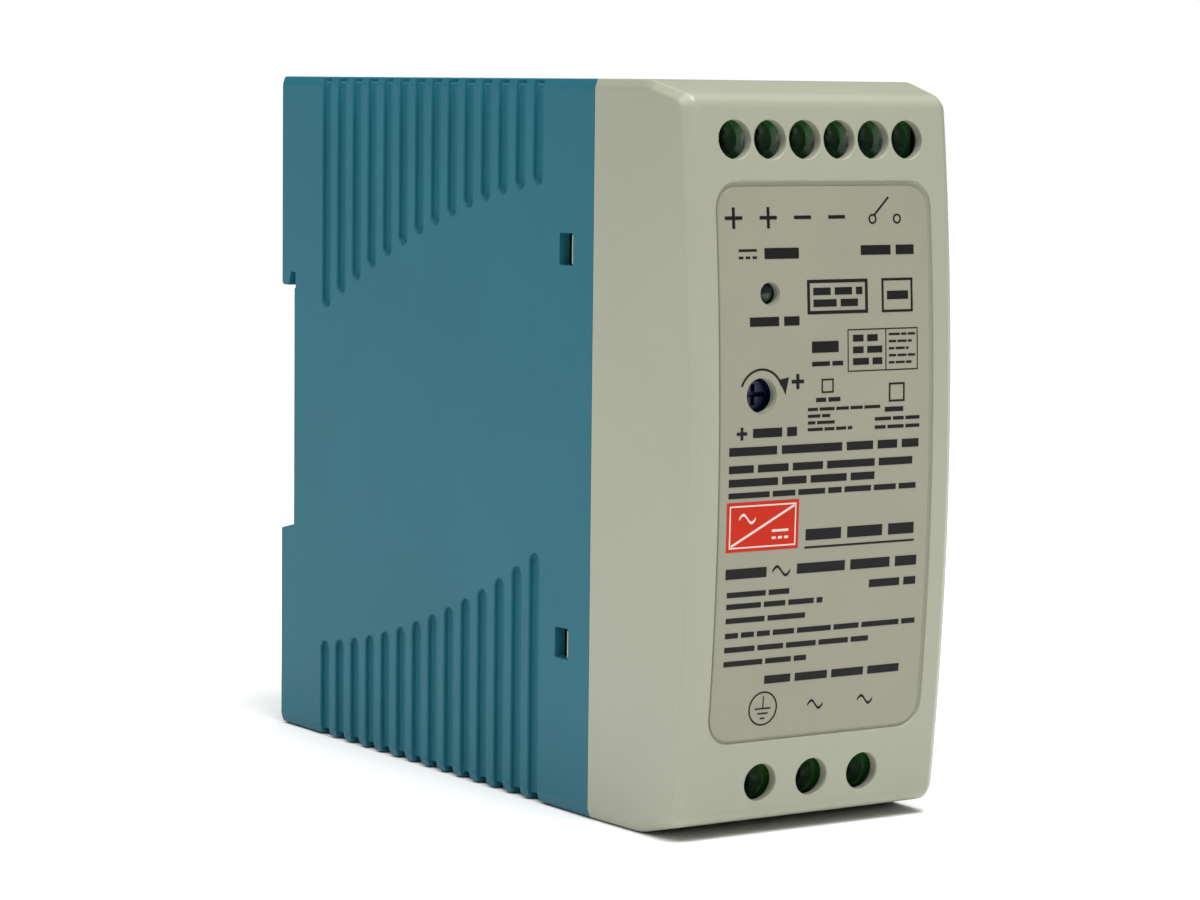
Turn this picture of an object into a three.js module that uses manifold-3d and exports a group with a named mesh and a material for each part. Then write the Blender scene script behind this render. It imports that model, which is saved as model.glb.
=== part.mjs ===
// DIN rail power supply: a 60 W, 24 V class unit in a two-part plastic case.
// Millimetres. The origin is the middle of the bottom, -Y is the front cover with the
// terminal screws, +Y is the side that hooks on the rail, and +Z is up.

import * as THREE from 'three';
import { mergeVertices } from 'three/addons/utils/BufferGeometryUtils.js';
import Module from 'manifold-3d';

const wasm = await Module();
wasm.setup();

// ---------------------------------------------------------------- driving dimensions

const WIDTH = 40;
const HEIGHT = 90;
const DEPTH = 100;
const HALF_WIDTH = WIDTH / 2;
const MID_Z = HEIGHT / 2;
const FRONT_Y = -DEPTH / 2;
const REAR_Y = DEPTH / 2;
const WALL = 2;
const OVERCUT = 1; // how far a cutting tool runs past the face it opens

// Two-part case: the cover meets the housing at the seam.
const SEAM_Y = -28.9;
const SEAM_HALF_GAP = 0.05;
const HOUSING_EDGE_RADIUS = 1.2;

// Front cover: drafted sides, a bulging front and a sloped top and bottom.
const COVER_EDGE = 1.16;
const COVER_DRAFT = 0.61; // each side, over the cover's whole depth
const FRONT_RADIUS = 335;
const SLOPE_BREAK_Y = -39.7;
const SLOPE_ANGLE = THREE.MathUtils.degToRad(13.7);
const CORNER_REACH = 1.6; // how far the rounded front corner runs along both of its sides
const FRONT_STEPS = 12;

// Label recess, the same depth all over the bulging front.
const RECESS = { halfWidth: 15.85, low: 11.9, high: 78.2, radius: 3.2, depth: 0.4 };
const LABEL_INSET = 0.5;
const LABEL_BACK = 0.34;
const LABEL_FACE = 0.18;

// Cooling grooves in the sides: the same pattern hangs from the top and stands on the bottom.
const GROOVE_COUNT = 14;
const GROOVE_PITCH = 4.123;
const GROOVE_REAR_Y = 38.6;
const GROOVE_WIDTH = 2.3;
const GROOVE_SIDE_DEPTH = 0.72;
const GROOVE_TOP_DEPTH = 0.8;
const GROOVE_SHORTEST = 13;
const GROOVE_GROWTH = 0.62;
const GROOVE_CURVE = 0.0596;
const VENT_WIDTH = 1.5;
const VENT_INNER_X = 2;
const VENT_OUTER_X = 14;

// 35 mm rail seat in the rear face.
const SEAT_Y = 46.5;
const SEAT_TOP_TIP_Z = 61.3;
const SEAT_TOP_ROOT_Z = 63.2;
const SEAT_LOW_TIP_Z = 27.4;
const SEAT_LOW_ROOT_Z = 28.2;
const HOOK_THROAT_Y = 48.2;
const HOOK_ROOT_Y = 47.6;
const HOOK_RELIEF = { low: 61, depth: 0.3 }; // keeps the corner under the hook clear of the rail's edge
const REAR_WALL_Y = 44; // the cavity's rear end behind the rail seat

// Sliding rail latch in its T-shaped guide. A spring that stands on a peg of the housing pushes it up.
const LATCH = { flangeHalf: 9, webHalf: 6, low: 0.6, high: 27.6, front: 46.8, step: 48.6, rear: 49.7 };
const LATCH_GAP = 0.3;
const LATCH_TONGUE = { front: 48, top: 29.9, bevelTop: 28.6 };
const LATCH_PULL_SLOT = { half: 3, depth: 1.8, low: 2.4, high: 4.4 };
const LATCH_GRIP = { half: 4.5, depth: 0.5, width: 0.7, heights: [5.8, 7.2] };
const LATCH_POCKET = { half: 1.7, low: 9.1, high: 22.2, back: 49.1 };
const SPRING = { low: 10.9, high: 21.9, centreY: 47.95, radius: 0.8, wire: 0.2, turns: 7 };
const SPRING_PEG = { half: 1.3, low: 9.4, high: 10.6, rear: 48.8 };

// Snap joints between cover and housing, two on each side.
const SNAP_WINDOWS = [
  { rear: -21.6, front: -24.4, low: 67.5, high: 71.2 },
  { rear: -21.4, front: -24.2, low: 19.0, high: 22.6 },
];
const SNAP_TAB = { thickness: 1.3, hook: 2, hookEnd: 0.3, tip: 1.3, root: 3, wallGap: 0.3, sideGap: 0.4 };

// Terminal rows, numbered from left to right as seen from the front.
const OUTPUT_ROW = {
  name: 'output', side: 1, count: 6, pitch: 5.08, axisInset: 6.95,
  chamberHalf: 2.12, shaftRadius: 1.1, holeRadius: 2.32, headRadius: 1.9,
};
const INPUT_ROW = {
  name: 'input', side: -1, count: 3, pitch: 7.62, axisInset: 6.3,
  chamberHalf: 2.95, shaftRadius: 1.35, holeRadius: 2.3, headRadius: 1.95,
};
const BLOCK = {
  front: -45, rear: -30.6, stepRear: -40.2, stepFront: -42,
  outerInset: 2.3, stepInset: 3.9, innerInset: 11.4, endWall: 0.75,
};
const BORE_GAP = 0.25;
const HEAD = { front: -42.4, rear: -41.5, slotWidth: 0.6, slotDepth: 0.5 };
const CHAMBER = { front: -40.9, rear: -31.4, halfHeight: 2.5 };
const CLAMP = { front: -38.2, wall: 0.8, rear: -31.7, halfHeight: 2.2, gap: 0.25, side: 0.55 };
const BAR = { front: -37.1, rear: -36.4, half: 0.9 };
const WIRE_HOLE = { front: -36.4, rear: -32.2 };
const WIRE_WINDOW = { front: -38, rear: -32.2 };
const SHAFT_TIP_Y = -37.15;

// Boards.
const BOARD_THICKNESS = 1.6;
const FRONT_BOARD_Y = -30.4;
const FRONT_BOARD_HALF = 16;
const MAIN_BOARD_X = -15.2;
const MAIN_BOARD = { front: -28.4, rear: 43.4, low: 3.2, high: 86.8 };
const BOARD_GUIDE = { half: 3, rib: 1.2, grip: 1, root: 0.5, places: [-14, 30] };
const DECK_X = MAIN_BOARD_X + BOARD_THICKNESS + 0.1; // parts stand on the main board from here
const LEG_PITCH = 2.54;

// Status light and voltage trimmer, both reached through the label.
const LED = { x: -8.3, z: 64.96, holeRadius: 1.3, radius: 1, rim: 0.3, tip: -48.7, base: -44.1 };
const TRIMMER = {
  x: -9.66, z: 53, holeRadius: 2.05, half: 3.4, front: -47.4, base: -40.3,
  rotorRadius: 1.9, rotorFace: -47.8,
};

// ---------------------------------------------------------------- finishes

const FINISH = {
  housing: { color: 0x43778a, roughness: 0.5, metalness: 0 },
  cover: { color: 0xaaac9c, roughness: 0.5, metalness: 0 },
  label: { color: 0xa09a8b, roughness: 0.4, metalness: 0.2 },
  board: { color: 0x1f6b3f, roughness: 0.5, metalness: 0 },
  terminal: { color: 0x1d5a32, roughness: 0.4, metalness: 0 },
  steel: { color: 0xb9bcbe, roughness: 0.35, metalness: 1 },
  brass: { color: 0xc2a25a, roughness: 0.35, metalness: 1 },
  aluminium: { color: 0xc9ccce, roughness: 0.4, metalness: 1 },
  ferrite: { color: 0x2c2c2f, roughness: 0.7, metalness: 0 },
  blackPlastic: { color: 0x1b1b1d, roughness: 0.5, metalness: 0 },
  whitePlastic: { color: 0xe4e2da, roughness: 0.5, metalness: 0 },
  yellowTape: { color: 0xe3c23c, roughness: 0.45, metalness: 0 },
  copper: { color: 0xb5652d, roughness: 0.35, metalness: 1 },
  sleeve: { color: 0x1f2b57, roughness: 0.35, metalness: 0 },
  blueCeramic: { color: 0x2c5fa8, roughness: 0.4, metalness: 0 },
  greenCeramic: { color: 0x3b7d46, roughness: 0.5, metalness: 0 },
  ledLens: { color: 0x7fbf6a, roughness: 0.2, metalness: 0 },
  trimmerBlue: { color: 0x1e3f8f, roughness: 0.4, metalness: 0 },
  fishPaper: { color: 0xd8cfae, roughness: 0.7, metalness: 0 },
};

// ---------------------------------------------------------------- helpers

const X_AXIS = new THREE.Vector3(1, 0, 0);
const Y_AXIS = new THREE.Vector3(0, 1, 0);
const Z_AXIS = new THREE.Vector3(0, 0, 1);

function toSolid(geometry) {
  const bare = geometry.clone();
  bare.deleteAttribute('normal');
  bare.deleteAttribute('uv');
  const merged = mergeVertices(bare, 1e-4);
  return new wasm.Manifold(new wasm.Mesh({
    numProp: 3,
    vertProperties: new Float32Array(merged.attributes.position.array),
    triVerts: new Uint32Array(merged.index.array),
  }));
}

function toGeometry(solid) {
  const mesh = solid.getMesh();
  const geometry = new THREE.BufferGeometry();
  geometry.setAttribute('position', new THREE.BufferAttribute(mesh.vertProperties, 3));
  geometry.setIndex(new THREE.BufferAttribute(mesh.triVerts, 1));
  geometry.computeVertexNormals();
  return geometry;
}

const root = new THREE.Group();

function addPiece(name, solid, finish) {
  const mesh = new THREE.Mesh(toGeometry(solid), new THREE.MeshStandardMaterial(finish));
  mesh.name = name;
  root.add(mesh);
}

const outline = (points) => new THREE.Shape(points.map(([u, v]) => new THREE.Vector2(u, v)));
const joined = (solids) => solids.reduce((whole, next) => whole.add(next));
const cut = (solid, tools) => tools.reduce((left, tool) => left.subtract(tool), solid);
const about = (centre, half) => [centre - half, centre + half];

// A box from its ranges along X, Y and Z.
function box([x0, x1], [y0, y1], [z0, z1]) {
  const geometry = new THREE.BoxGeometry(x1 - x0, y1 - y0, z1 - z0);
  geometry.translate((x0 + x1) / 2, (y0 + y1) / 2, (z0 + z1) / 2);
  return toSolid(geometry);
}

// An outline drawn in Y and Z, extruded along X. A bevel keeps the outline's full size.
function prismX(shape, [x0, x1], bevel = 0, curveSegments = 8) {
  const geometry = new THREE.ExtrudeGeometry(shape, {
    depth: x1 - x0 - 2 * bevel,
    bevelEnabled: bevel > 0,
    bevelThickness: bevel,
    bevelSize: bevel,
    bevelOffset: -bevel,
    bevelSegments: 2,
    curveSegments,
  });
  geometry.applyMatrix4(new THREE.Matrix4().makeBasis(Y_AXIS, Z_AXIS, X_AXIS));
  geometry.translate(x0 + bevel, 0, 0);
  return geometry;
}

// An outline drawn in X and Z, extruded along Y.
function prismY(shape, [y0, y1], curveSegments = 8) {
  const depth = y1 - y0;
  const geometry = new THREE.ExtrudeGeometry(shape, { depth, bevelEnabled: false, curveSegments });
  geometry.applyMatrix4(new THREE.Matrix4().makeBasis(X_AXIS, Z_AXIS, Y_AXIS.clone().negate()));
  geometry.translate(0, y1, 0);
  return geometry;
}

// A round bar along one axis: 'x', 'y' or 'z'. The centre gives the other two coordinates.
function bar(axis, radius, [from, to], [u, v], segments = 16) {
  const geometry = new THREE.CylinderGeometry(radius, radius, to - from, segments);
  const middle = (from + to) / 2;
  if (axis === 'x') geometry.rotateZ(Math.PI / 2).translate(middle, u, v);
  if (axis === 'y') geometry.translate(u, middle, v);
  if (axis === 'z') geometry.rotateX(Math.PI / 2).translate(u, v, middle);
  return toSolid(geometry);
}

function roundedRectangle(halfWidth, low, high, radius) {
  const shape = new THREE.Shape();
  shape.moveTo(-halfWidth + radius, low);
  shape.absarc(halfWidth - radius, low + radius, radius, -Math.PI / 2, 0);
  shape.absarc(halfWidth - radius, high - radius, radius, 0, Math.PI / 2);
  shape.absarc(-halfWidth + radius, high - radius, radius, Math.PI / 2, Math.PI);
  shape.absarc(-halfWidth + radius, low + radius, radius, Math.PI, Math.PI * 1.5);
  return shape;
}

const rowX = (row, index) => (index - (row.count - 1) / 2) * row.pitch;

// Heights are given as a distance in from the case's top (side 1) or bottom (side -1).
const levelZ = (side, inset) => (side > 0 ? HEIGHT - inset : inset);

function levelRange(side, insetA, insetB) {
  const heights = [levelZ(side, insetA), levelZ(side, insetB)];
  return [Math.min(...heights), Math.max(...heights)];
}

const forEachPole = (row, action) => {
  for (let index = 0; index < row.count; index += 1) action(rowX(row, index), index + 1);
};

// ---------------------------------------------------------------- front cover

// The cover's side outline, inset evenly by a wall thickness or a recess depth.
function coverOutline(inset, rearY) {
  const frontAt = (z) => {
    const rise = (z - MID_Z) ** 2 / (2 * (FRONT_RADIUS - inset));
    return FRONT_Y + inset + rise;
  };
  const slopeAt = (y) => {
    const drop = Math.tan(SLOPE_ANGLE) * (SLOPE_BREAK_Y - y);
    return HEIGHT - drop - inset / Math.cos(SLOPE_ANGLE);
  };
  let cornerZ = HEIGHT - inset;
  for (let pass = 0; pass < 5; pass += 1) cornerZ = slopeAt(frontAt(cornerZ));
  const cornerY = frontAt(cornerZ);
  const topZ = HEIGHT - inset;
  const breakY = SLOPE_BREAK_Y + (inset * (1 / Math.cos(SLOPE_ANGLE) - 1)) / Math.tan(SLOPE_ANGLE);
  const reach = CORNER_REACH - 0.6 * inset; // a corner gets sharper towards the inside
  const backY = cornerY + reach * Math.cos(SLOPE_ANGLE);
  const downZ = cornerZ - reach;

  const upper = [];
  const corner = new THREE.QuadraticBezierCurve(
    new THREE.Vector2(backY, slopeAt(backY)),
    new THREE.Vector2(cornerY, cornerZ),
    new THREE.Vector2(frontAt(downZ), downZ),
  );
  upper.push([rearY, topZ], [breakY, topZ]);
  corner.getPoints(4).forEach((point) => upper.push([point.x, point.y]));
  for (let step = 1; step < FRONT_STEPS / 2; step += 1) {
    const z = THREE.MathUtils.lerp(downZ, MID_Z, step / (FRONT_STEPS / 2));
    upper.push([frontAt(z), z]);
  }
  const lower = upper.map(([y, z]) => [y, HEIGHT - z]).reverse();
  return outline([...upper, [FRONT_Y + inset, MID_Z], ...lower]);
}

// Narrows a cover geometry towards the front by the draft on its two sides.
function drafted(geometry) {
  const position = geometry.attributes.position;
  for (let index = 0; index < position.count; index += 1) {
    const forward = (SEAM_Y - position.getY(index)) / (SEAM_Y - FRONT_Y);
    position.setX(index, position.getX(index) * (1 - (COVER_DRAFT / HALF_WIDTH) * forward));
  }
  return geometry;
}

function coverSolid(inset, bevel) {
  const rearY = SEAM_Y + 6;
  const span = [-HALF_WIDTH + inset, HALF_WIDTH - inset];
  return toSolid(drafted(prismX(coverOutline(inset, rearY), span, bevel)));
}

// A prism along Y from before the front face to behind it.
const throughFace = (shape) => toSolid(prismY(shape, [FRONT_Y - OVERCUT, SEAM_Y - 10]));

// A tab that reaches into the housing, with a hook that stands in the housing's side window.
function snapTab({ front, low, high }, side) {
  const outer = HALF_WIDTH - WALL - SNAP_TAB.wallGap;
  const inner = outer - SNAP_TAB.thickness;
  const foot = outer + 0.9; // joins the tab to the cover's wall
  const hook = outer + SNAP_TAB.hook;
  const tip = front + SNAP_TAB.tip;
  const profile = [
    [inner, SEAM_Y - SNAP_TAB.root], [foot, SEAM_Y - SNAP_TAB.root],
    [foot, SEAM_Y - 0.3], [outer, SEAM_Y - 0.3],
    [outer, front + 0.15], [hook, front + 0.15],
    [hook, front + 0.15 + SNAP_TAB.hookEnd], [outer, tip - 0.2],
    [outer, tip], [inner, tip],
  ];
  const geometry = new THREE.ExtrudeGeometry(outline(profile.map(([x, y]) => [side * x, y])), {
    depth: high - low - 2 * SNAP_TAB.sideGap, bevelEnabled: false,
  });
  return toSolid(geometry.translate(0, 0, low + SNAP_TAB.sideGap));
}

function frontCover() {
  const outer = coverSolid(0, COVER_EDGE);
  const seamCut = box([-30, 30], [SEAM_Y - SEAM_HALF_GAP, 0], [-10, HEIGHT + 10]);
  let cover = outer.subtract(coverSolid(WALL, 0)).subtract(seamCut);

  const recessShape = roundedRectangle(RECESS.halfWidth, RECESS.low, RECESS.high, RECESS.radius);
  cover = cover.subtract(throughFace(recessShape).subtract(coverSolid(RECESS.depth, 0)));

  const throughFront = [FRONT_Y - OVERCUT, BLOCK.front];
  const tools = [
    bar('y', LED.holeRadius, throughFront, [LED.x, LED.z]),
    bar('y', TRIMMER.holeRadius, throughFront, [TRIMMER.x, TRIMMER.z], 20),
  ];
  [OUTPUT_ROW, INPUT_ROW].forEach((row) => forEachPole(row, (x) => {
    tools.push(bar('y', row.holeRadius, throughFront, [x, levelZ(row.side, row.axisInset)], 20));
    const window = [WIRE_WINDOW.front, WIRE_WINDOW.rear];
    tools.push(box(about(x, row.chamberHalf), window, levelRange(row.side, -OVERCUT, WALL + 0.2)));
  }));
  cover = cut(cover, tools);

  SNAP_WINDOWS.forEach((window) => [-1, 1].forEach((side) => {
    cover = cover.add(snapTab(window, side));
  }));
  return cover;
}

function frontLabel() {
  const shape = roundedRectangle(
    RECESS.halfWidth - LABEL_INSET,
    RECESS.low + LABEL_INSET,
    RECESS.high - LABEL_INSET,
    RECESS.radius - LABEL_INSET,
  );
  const sheet = throughFace(shape).intersect(coverSolid(LABEL_FACE, 0)).subtract(coverSolid(LABEL_BACK, 0));
  const through = [FRONT_Y - OVERCUT, FRONT_Y + 4];
  return cut(sheet, [
    bar('y', LED.holeRadius + 0.1, through, [LED.x, LED.z]),
    bar('y', TRIMMER.holeRadius + 0.1, through, [TRIMMER.x, TRIMMER.z], 20),
  ]);
}

// ---------------------------------------------------------------- rear housing

function housingShell() {
  const side = outline([
    [SEAM_Y + SEAM_HALF_GAP, 0], [REAR_Y, 0],
    [REAR_Y, SEAT_LOW_TIP_Z], [SEAT_Y, SEAT_LOW_ROOT_Z],
    [SEAT_Y, HOOK_RELIEF.low], [SEAT_Y - HOOK_RELIEF.depth, HOOK_RELIEF.low],
    [SEAT_Y - HOOK_RELIEF.depth, SEAT_TOP_ROOT_Z], [HOOK_ROOT_Y, SEAT_TOP_ROOT_Z],
    [HOOK_THROAT_Y, SEAT_TOP_TIP_Z], [REAR_Y - 0.3, SEAT_TOP_TIP_Z],
    [REAR_Y, SEAT_TOP_TIP_Z + 0.4], [REAR_Y, HEIGHT], [SEAM_Y + SEAM_HALF_GAP, HEIGHT],
  ]);
  const section = roundedRectangle(HALF_WIDTH, 0, HEIGHT, HOUSING_EDGE_RADIUS);
  const body = toSolid(prismX(side, [-HALF_WIDTH, HALF_WIDTH]));
  const rounded = toSolid(prismY(section, [SEAM_Y - OVERCUT, REAR_Y + OVERCUT], 3));
  const inside = [-HALF_WIDTH + WALL, HALF_WIDTH - WALL];
  return cut(body.intersect(rounded), [
    box(inside, [SEAM_Y - OVERCUT, REAR_WALL_Y], [WALL, HEIGHT - WALL]),
    box(inside, [REAR_WALL_Y - OVERCUT, REAR_Y - WALL], [SEAT_TOP_ROOT_Z + WALL, HEIGHT - WALL]),
  ]);
}

const grooveLength = (step) => GROOVE_SHORTEST + GROOVE_GROWTH * step + GROOVE_CURVE * step ** 2;

function grooveTools(index) {
  const rearY = GROOVE_REAR_Y - GROOVE_PITCH * index;
  const radius = GROOVE_WIDTH / 2;
  const middleY = rearY - radius;
  const tools = [];
  [1, -1].forEach((side) => {
    // The top grooves are longest at the rear and the bottom ones at the front.
    const step = side > 0 ? GROOVE_COUNT - 1 - index : index;
    const roundCentre = grooveLength(step) - radius;
    const slot = new THREE.Shape();
    slot.moveTo(middleY - radius, levelZ(side, -OVERCUT));
    slot.lineTo(middleY - radius, levelZ(side, roundCentre));
    slot.absarc(middleY, levelZ(side, roundCentre), radius, Math.PI, side > 0 ? Math.PI * 2 : 0, side < 0);
    slot.lineTo(middleY + radius, levelZ(side, -OVERCUT));
    [-1, 1].forEach((hand) => {
      const faces = [hand * (HALF_WIDTH - GROOVE_SIDE_DEPTH), hand * (HALF_WIDTH + OVERCUT)];
      tools.push(toSolid(prismX(slot, [Math.min(...faces), Math.max(...faces)], 0, 4)));
      const vent = [hand * VENT_INNER_X, hand * VENT_OUTER_X];
      tools.push(box(
        [Math.min(...vent), Math.max(...vent)],
        about(middleY, VENT_WIDTH / 2),
        levelRange(side, -OVERCUT, WALL + OVERCUT),
      ));
    });
    tools.push(box(
      [-HALF_WIDTH - OVERCUT, HALF_WIDTH + OVERCUT],
      about(middleY, radius),
      levelRange(side, -OVERCUT, GROOVE_TOP_DEPTH),
    ));
  });
  return tools;
}

function rearHousing() {
  let housing = housingShell();
  for (let index = 0; index < GROOVE_COUNT; index += 1) {
    housing = housing.subtract(joined(grooveTools(index)));
  }
  SNAP_WINDOWS.forEach(({ rear, front, low, high }) => {
    const sides = [-HALF_WIDTH - OVERCUT, HALF_WIDTH + OVERCUT];
    housing = housing.subtract(box(sides, [front, rear], [low, high]));
  });

  // T-shaped guide for the latch, with the peg that its spring stands on.
  const guideZ = [-OVERCUT, SEAT_LOW_ROOT_Z + OVERCUT];
  housing = cut(housing, [
    box(about(0, LATCH.flangeHalf + LATCH_GAP), [SEAT_Y, LATCH.step + LATCH_GAP], guideZ),
    box(about(0, LATCH.webHalf + LATCH_GAP), [SEAT_Y, REAR_Y + OVERCUT], guideZ),
  ]);
  housing = housing.add(box(
    about(0, SPRING_PEG.half),
    [SEAT_Y - 1, SPRING_PEG.rear],
    [SPRING_PEG.low, SPRING_PEG.high],
  ));

  // Guide ribs hold the main board's top and bottom edges.
  const { half, rib, grip, root: sunk, places } = BOARD_GUIDE;
  const edges = [
    [WALL - sunk, MAIN_BOARD.low + grip],
    [MAIN_BOARD.high - grip, HEIGHT - WALL + sunk],
  ];
  const slot = [MAIN_BOARD_X - 0.2, MAIN_BOARD_X + BOARD_THICKNESS + 0.1];
  edges.forEach((zRange) => places.forEach((y) => {
    housing = housing.add(box([slot[0] - rib, slot[0]], about(y, half), zRange));
    housing = housing.add(box([slot[1], slot[1] + rib], about(y, half), zRange));
  }));
  return housing;
}

// ---------------------------------------------------------------- rail latch

function railLatch() {
  const zRange = [LATCH.low, LATCH.high];
  const flange = box(about(0, LATCH.flangeHalf), [LATCH.front, LATCH.step], zRange);
  const web = box(about(0, LATCH.webHalf), [LATCH.step - 0.5, LATCH.rear], zRange);
  const tongue = toSolid(prismX(outline([
    [LATCH_TONGUE.front, LATCH.high - 1], [LATCH.rear, LATCH.high - 1],
    [LATCH.rear, LATCH_TONGUE.bevelTop], [LATCH_TONGUE.front + 0.4, LATCH_TONGUE.top],
    [LATCH_TONGUE.front, LATCH_TONGUE.top],
  ]), about(0, LATCH.webHalf)));
  return cut(joined([flange, web, tongue]), [
    // Pocket round the spring and its peg, open towards the housing.
    box(
      about(0, LATCH_POCKET.half),
      [LATCH.front - OVERCUT, LATCH_POCKET.back],
      [LATCH_POCKET.low, LATCH_POCKET.high],
    ),
    // Slot for the tip of a screwdriver that pulls the latch down.
    box(
      about(0, LATCH_PULL_SLOT.half),
      [LATCH.rear - LATCH_PULL_SLOT.depth, LATCH.rear + OVERCUT],
      [LATCH_PULL_SLOT.low, LATCH_PULL_SLOT.high],
    ),
    // Finger grooves across the lower end.
    ...LATCH_GRIP.heights.map((z) => box(
      about(0, LATCH_GRIP.half),
      [LATCH.rear - LATCH_GRIP.depth, LATCH.rear + OVERCUT],
      about(z, LATCH_GRIP.width / 2),
    )),
  ]);
}

class SpringHelix extends THREE.Curve {
  getPoint(t, target = new THREE.Vector3()) {
    const angle = t * SPRING.turns * Math.PI * 2;
    return target.set(
      SPRING.radius * Math.cos(angle),
      SPRING.centreY + SPRING.radius * Math.sin(angle),
      THREE.MathUtils.lerp(SPRING.low + SPRING.wire, SPRING.high - SPRING.wire, t),
    );
  }
}

function latchSpring() {
  const section = new THREE.Shape();
  section.absarc(0, 0, SPRING.wire, 0, Math.PI * 2);
  return toSolid(new THREE.ExtrudeGeometry(section, {
    steps: SPRING.turns * 10, extrudePath: new SpringHelix(), curveSegments: 3, bevelEnabled: false,
  }));
}

// ---------------------------------------------------------------- terminal rows

function terminalBlock(row) {
  const reach = ((row.count - 1) / 2) * row.pitch + row.chamberHalf + BLOCK.endWall;
  const inset = (points) => outline(points.map(([y, depth]) => [y, levelZ(row.side, depth)]));
  const body = toSolid(prismX(inset([
    [BLOCK.rear, BLOCK.outerInset], [BLOCK.stepRear, BLOCK.outerInset],
    [BLOCK.stepFront, BLOCK.stepInset], [BLOCK.front, BLOCK.stepInset],
    [BLOCK.front, BLOCK.innerInset], [BLOCK.rear, BLOCK.innerInset],
  ]), [-reach, reach]));
  let block = body;
  forEachPole(row, (x) => {
    const z = levelZ(row.side, row.axisInset);
    const chamber = levelRange(row.side, ...about(row.axisInset, CHAMBER.halfHeight));
    block = cut(block, [
      bar('y', row.headRadius + BORE_GAP, [BLOCK.front - OVERCUT, HEAD.rear + 0.05], [x, z]),
      bar('y', row.shaftRadius + BORE_GAP, [BLOCK.front, CHAMBER.front + 0.5], [x, z], 12),
      box(about(x, row.chamberHalf), [CHAMBER.front, CHAMBER.rear], chamber),
      box(
        about(x, row.chamberHalf),
        [WIRE_HOLE.front, WIRE_HOLE.rear],
        levelRange(row.side, 0, row.axisInset),
      ),
    ]);
    // Contact bar that the wire is clamped against. It stands through the clamp's window.
    const barTop = row.axisInset - CLAMP.halfHeight;
    const barFoot = row.axisInset + CHAMBER.halfHeight + 0.5;
    const barHeights = levelRange(row.side, barTop, barFoot);
    block = block.add(box(about(x, BAR.half), [BAR.front, BAR.rear], barHeights));
  });
  return block;
}

function terminalScrew(row, x) {
  const z = levelZ(row.side, row.axisInset);
  const head = bar('y', row.headRadius, [HEAD.front, HEAD.rear], [x, z]);
  const shaft = bar('y', row.shaftRadius, [HEAD.rear - 0.2, SHAFT_TIP_Y], [x, z], 10);
  const slotDepth = [HEAD.front - OVERCUT, HEAD.front + HEAD.slotDepth];
  const long = row.headRadius + OVERCUT;
  return cut(head.add(shaft), [
    box(about(x, long), slotDepth, about(z, HEAD.slotWidth / 2)),
    box(about(x, HEAD.slotWidth / 2), slotDepth, about(z, row.headRadius * 0.6)),
  ]);
}

function terminalClamp(row, x) {
  const z = levelZ(row.side, row.axisInset);
  const half = row.chamberHalf - CLAMP.gap;
  const zRange = about(z, CLAMP.halfHeight);
  const window = [CLAMP.front + CLAMP.wall, CLAMP.rear - CLAMP.wall];
  return cut(box(about(x, half), [CLAMP.front, CLAMP.rear], zRange), [
    box(about(x, half - CLAMP.side), window, [zRange[0] - OVERCUT, zRange[1] + OVERCUT]),
    bar('y', row.shaftRadius + 0.06, [CLAMP.front - OVERCUT, window[0] + 0.1], [x, z], 10),
  ]);
}

// ---------------------------------------------------------------- boards and controls

const frontBoardRange = [FRONT_BOARD_Y, FRONT_BOARD_Y + BOARD_THICKNESS];
const frontBoard = (low, high) => box(about(0, FRONT_BOARD_HALF), frontBoardRange, [low, high]);

function pins(places, radius, [from, to]) {
  return places.map(([x, z]) => bar('y', radius, [from, to], [x, z], 6));
}

function statusLed() {
  const profile = [
    [0, LED.tip], [LED.radius * 0.72, LED.tip + 0.3], [LED.radius, LED.tip + 1],
    [LED.radius, LED.base - 0.8], [LED.radius + LED.rim, LED.base - 0.8],
    [LED.radius + LED.rim, LED.base], [0, LED.base],
  ].map(([radius, y]) => new THREE.Vector2(radius, y));
  const dome = toSolid(new THREE.LatheGeometry(profile, 16).translate(LED.x, 0, LED.z));
  const places = [[LED.x - 0.8, LED.z], [LED.x + 0.8, LED.z]];
  const leads = pins(places, 0.3, [LED.base - 0.3, FRONT_BOARD_Y - 0.1]);
  return joined([dome, ...leads]);
}

function trimmerBody() {
  const { x, z, half } = TRIMMER;
  const body = box(about(x, half), [TRIMMER.front, TRIMMER.base], about(z, half));
  const leads = pins(
    [[x - 2.5, z - 2.5], [x + 2.5, z - 2.5], [x, z + 2.5]],
    0.35,
    [TRIMMER.base - 0.3, FRONT_BOARD_Y - 0.1],
  );
  const seatDepth = [TRIMMER.front - OVERCUT, TRIMMER.front + 1.8];
  return joined([body, ...leads]).subtract(bar('y', TRIMMER.rotorRadius + 0.2, seatDepth, [x, z], 20));
}

function trimmerRotor() {
  const { x, z, rotorFace } = TRIMMER;
  const rotor = bar('y', TRIMMER.rotorRadius, [rotorFace, TRIMMER.front + 1.5], [x, z], 20);
  const slotDepth = [rotorFace - OVERCUT, rotorFace + 0.9];
  // A cross slot with one arm cut right through to the edge, which shows the setting.
  return cut(rotor, [
    box([x - 1.3, x + TRIMMER.rotorRadius + OVERCUT], slotDepth, about(z, 0.3)),
    box(about(x, 0.3), slotDepth, about(z, 1.3)),
  ]);
}

// ---------------------------------------------------------------- parts on the main board

// A can that lies on its side, standing on the main board.
function capacitor(radius, length, y, z) {
  const can = bar('x', radius, [DECK_X, DECK_X + length], [y, z], 20);
  const bead = bar('x', radius + 0.5, [DECK_X + 2.2, DECK_X + 3], [y, z], 20);
  const waist = bar('x', radius - 0.7, [DECK_X + 2, DECK_X + 3.2], [y, z], 20);
  return can.subtract(bead).add(waist);
}

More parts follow.
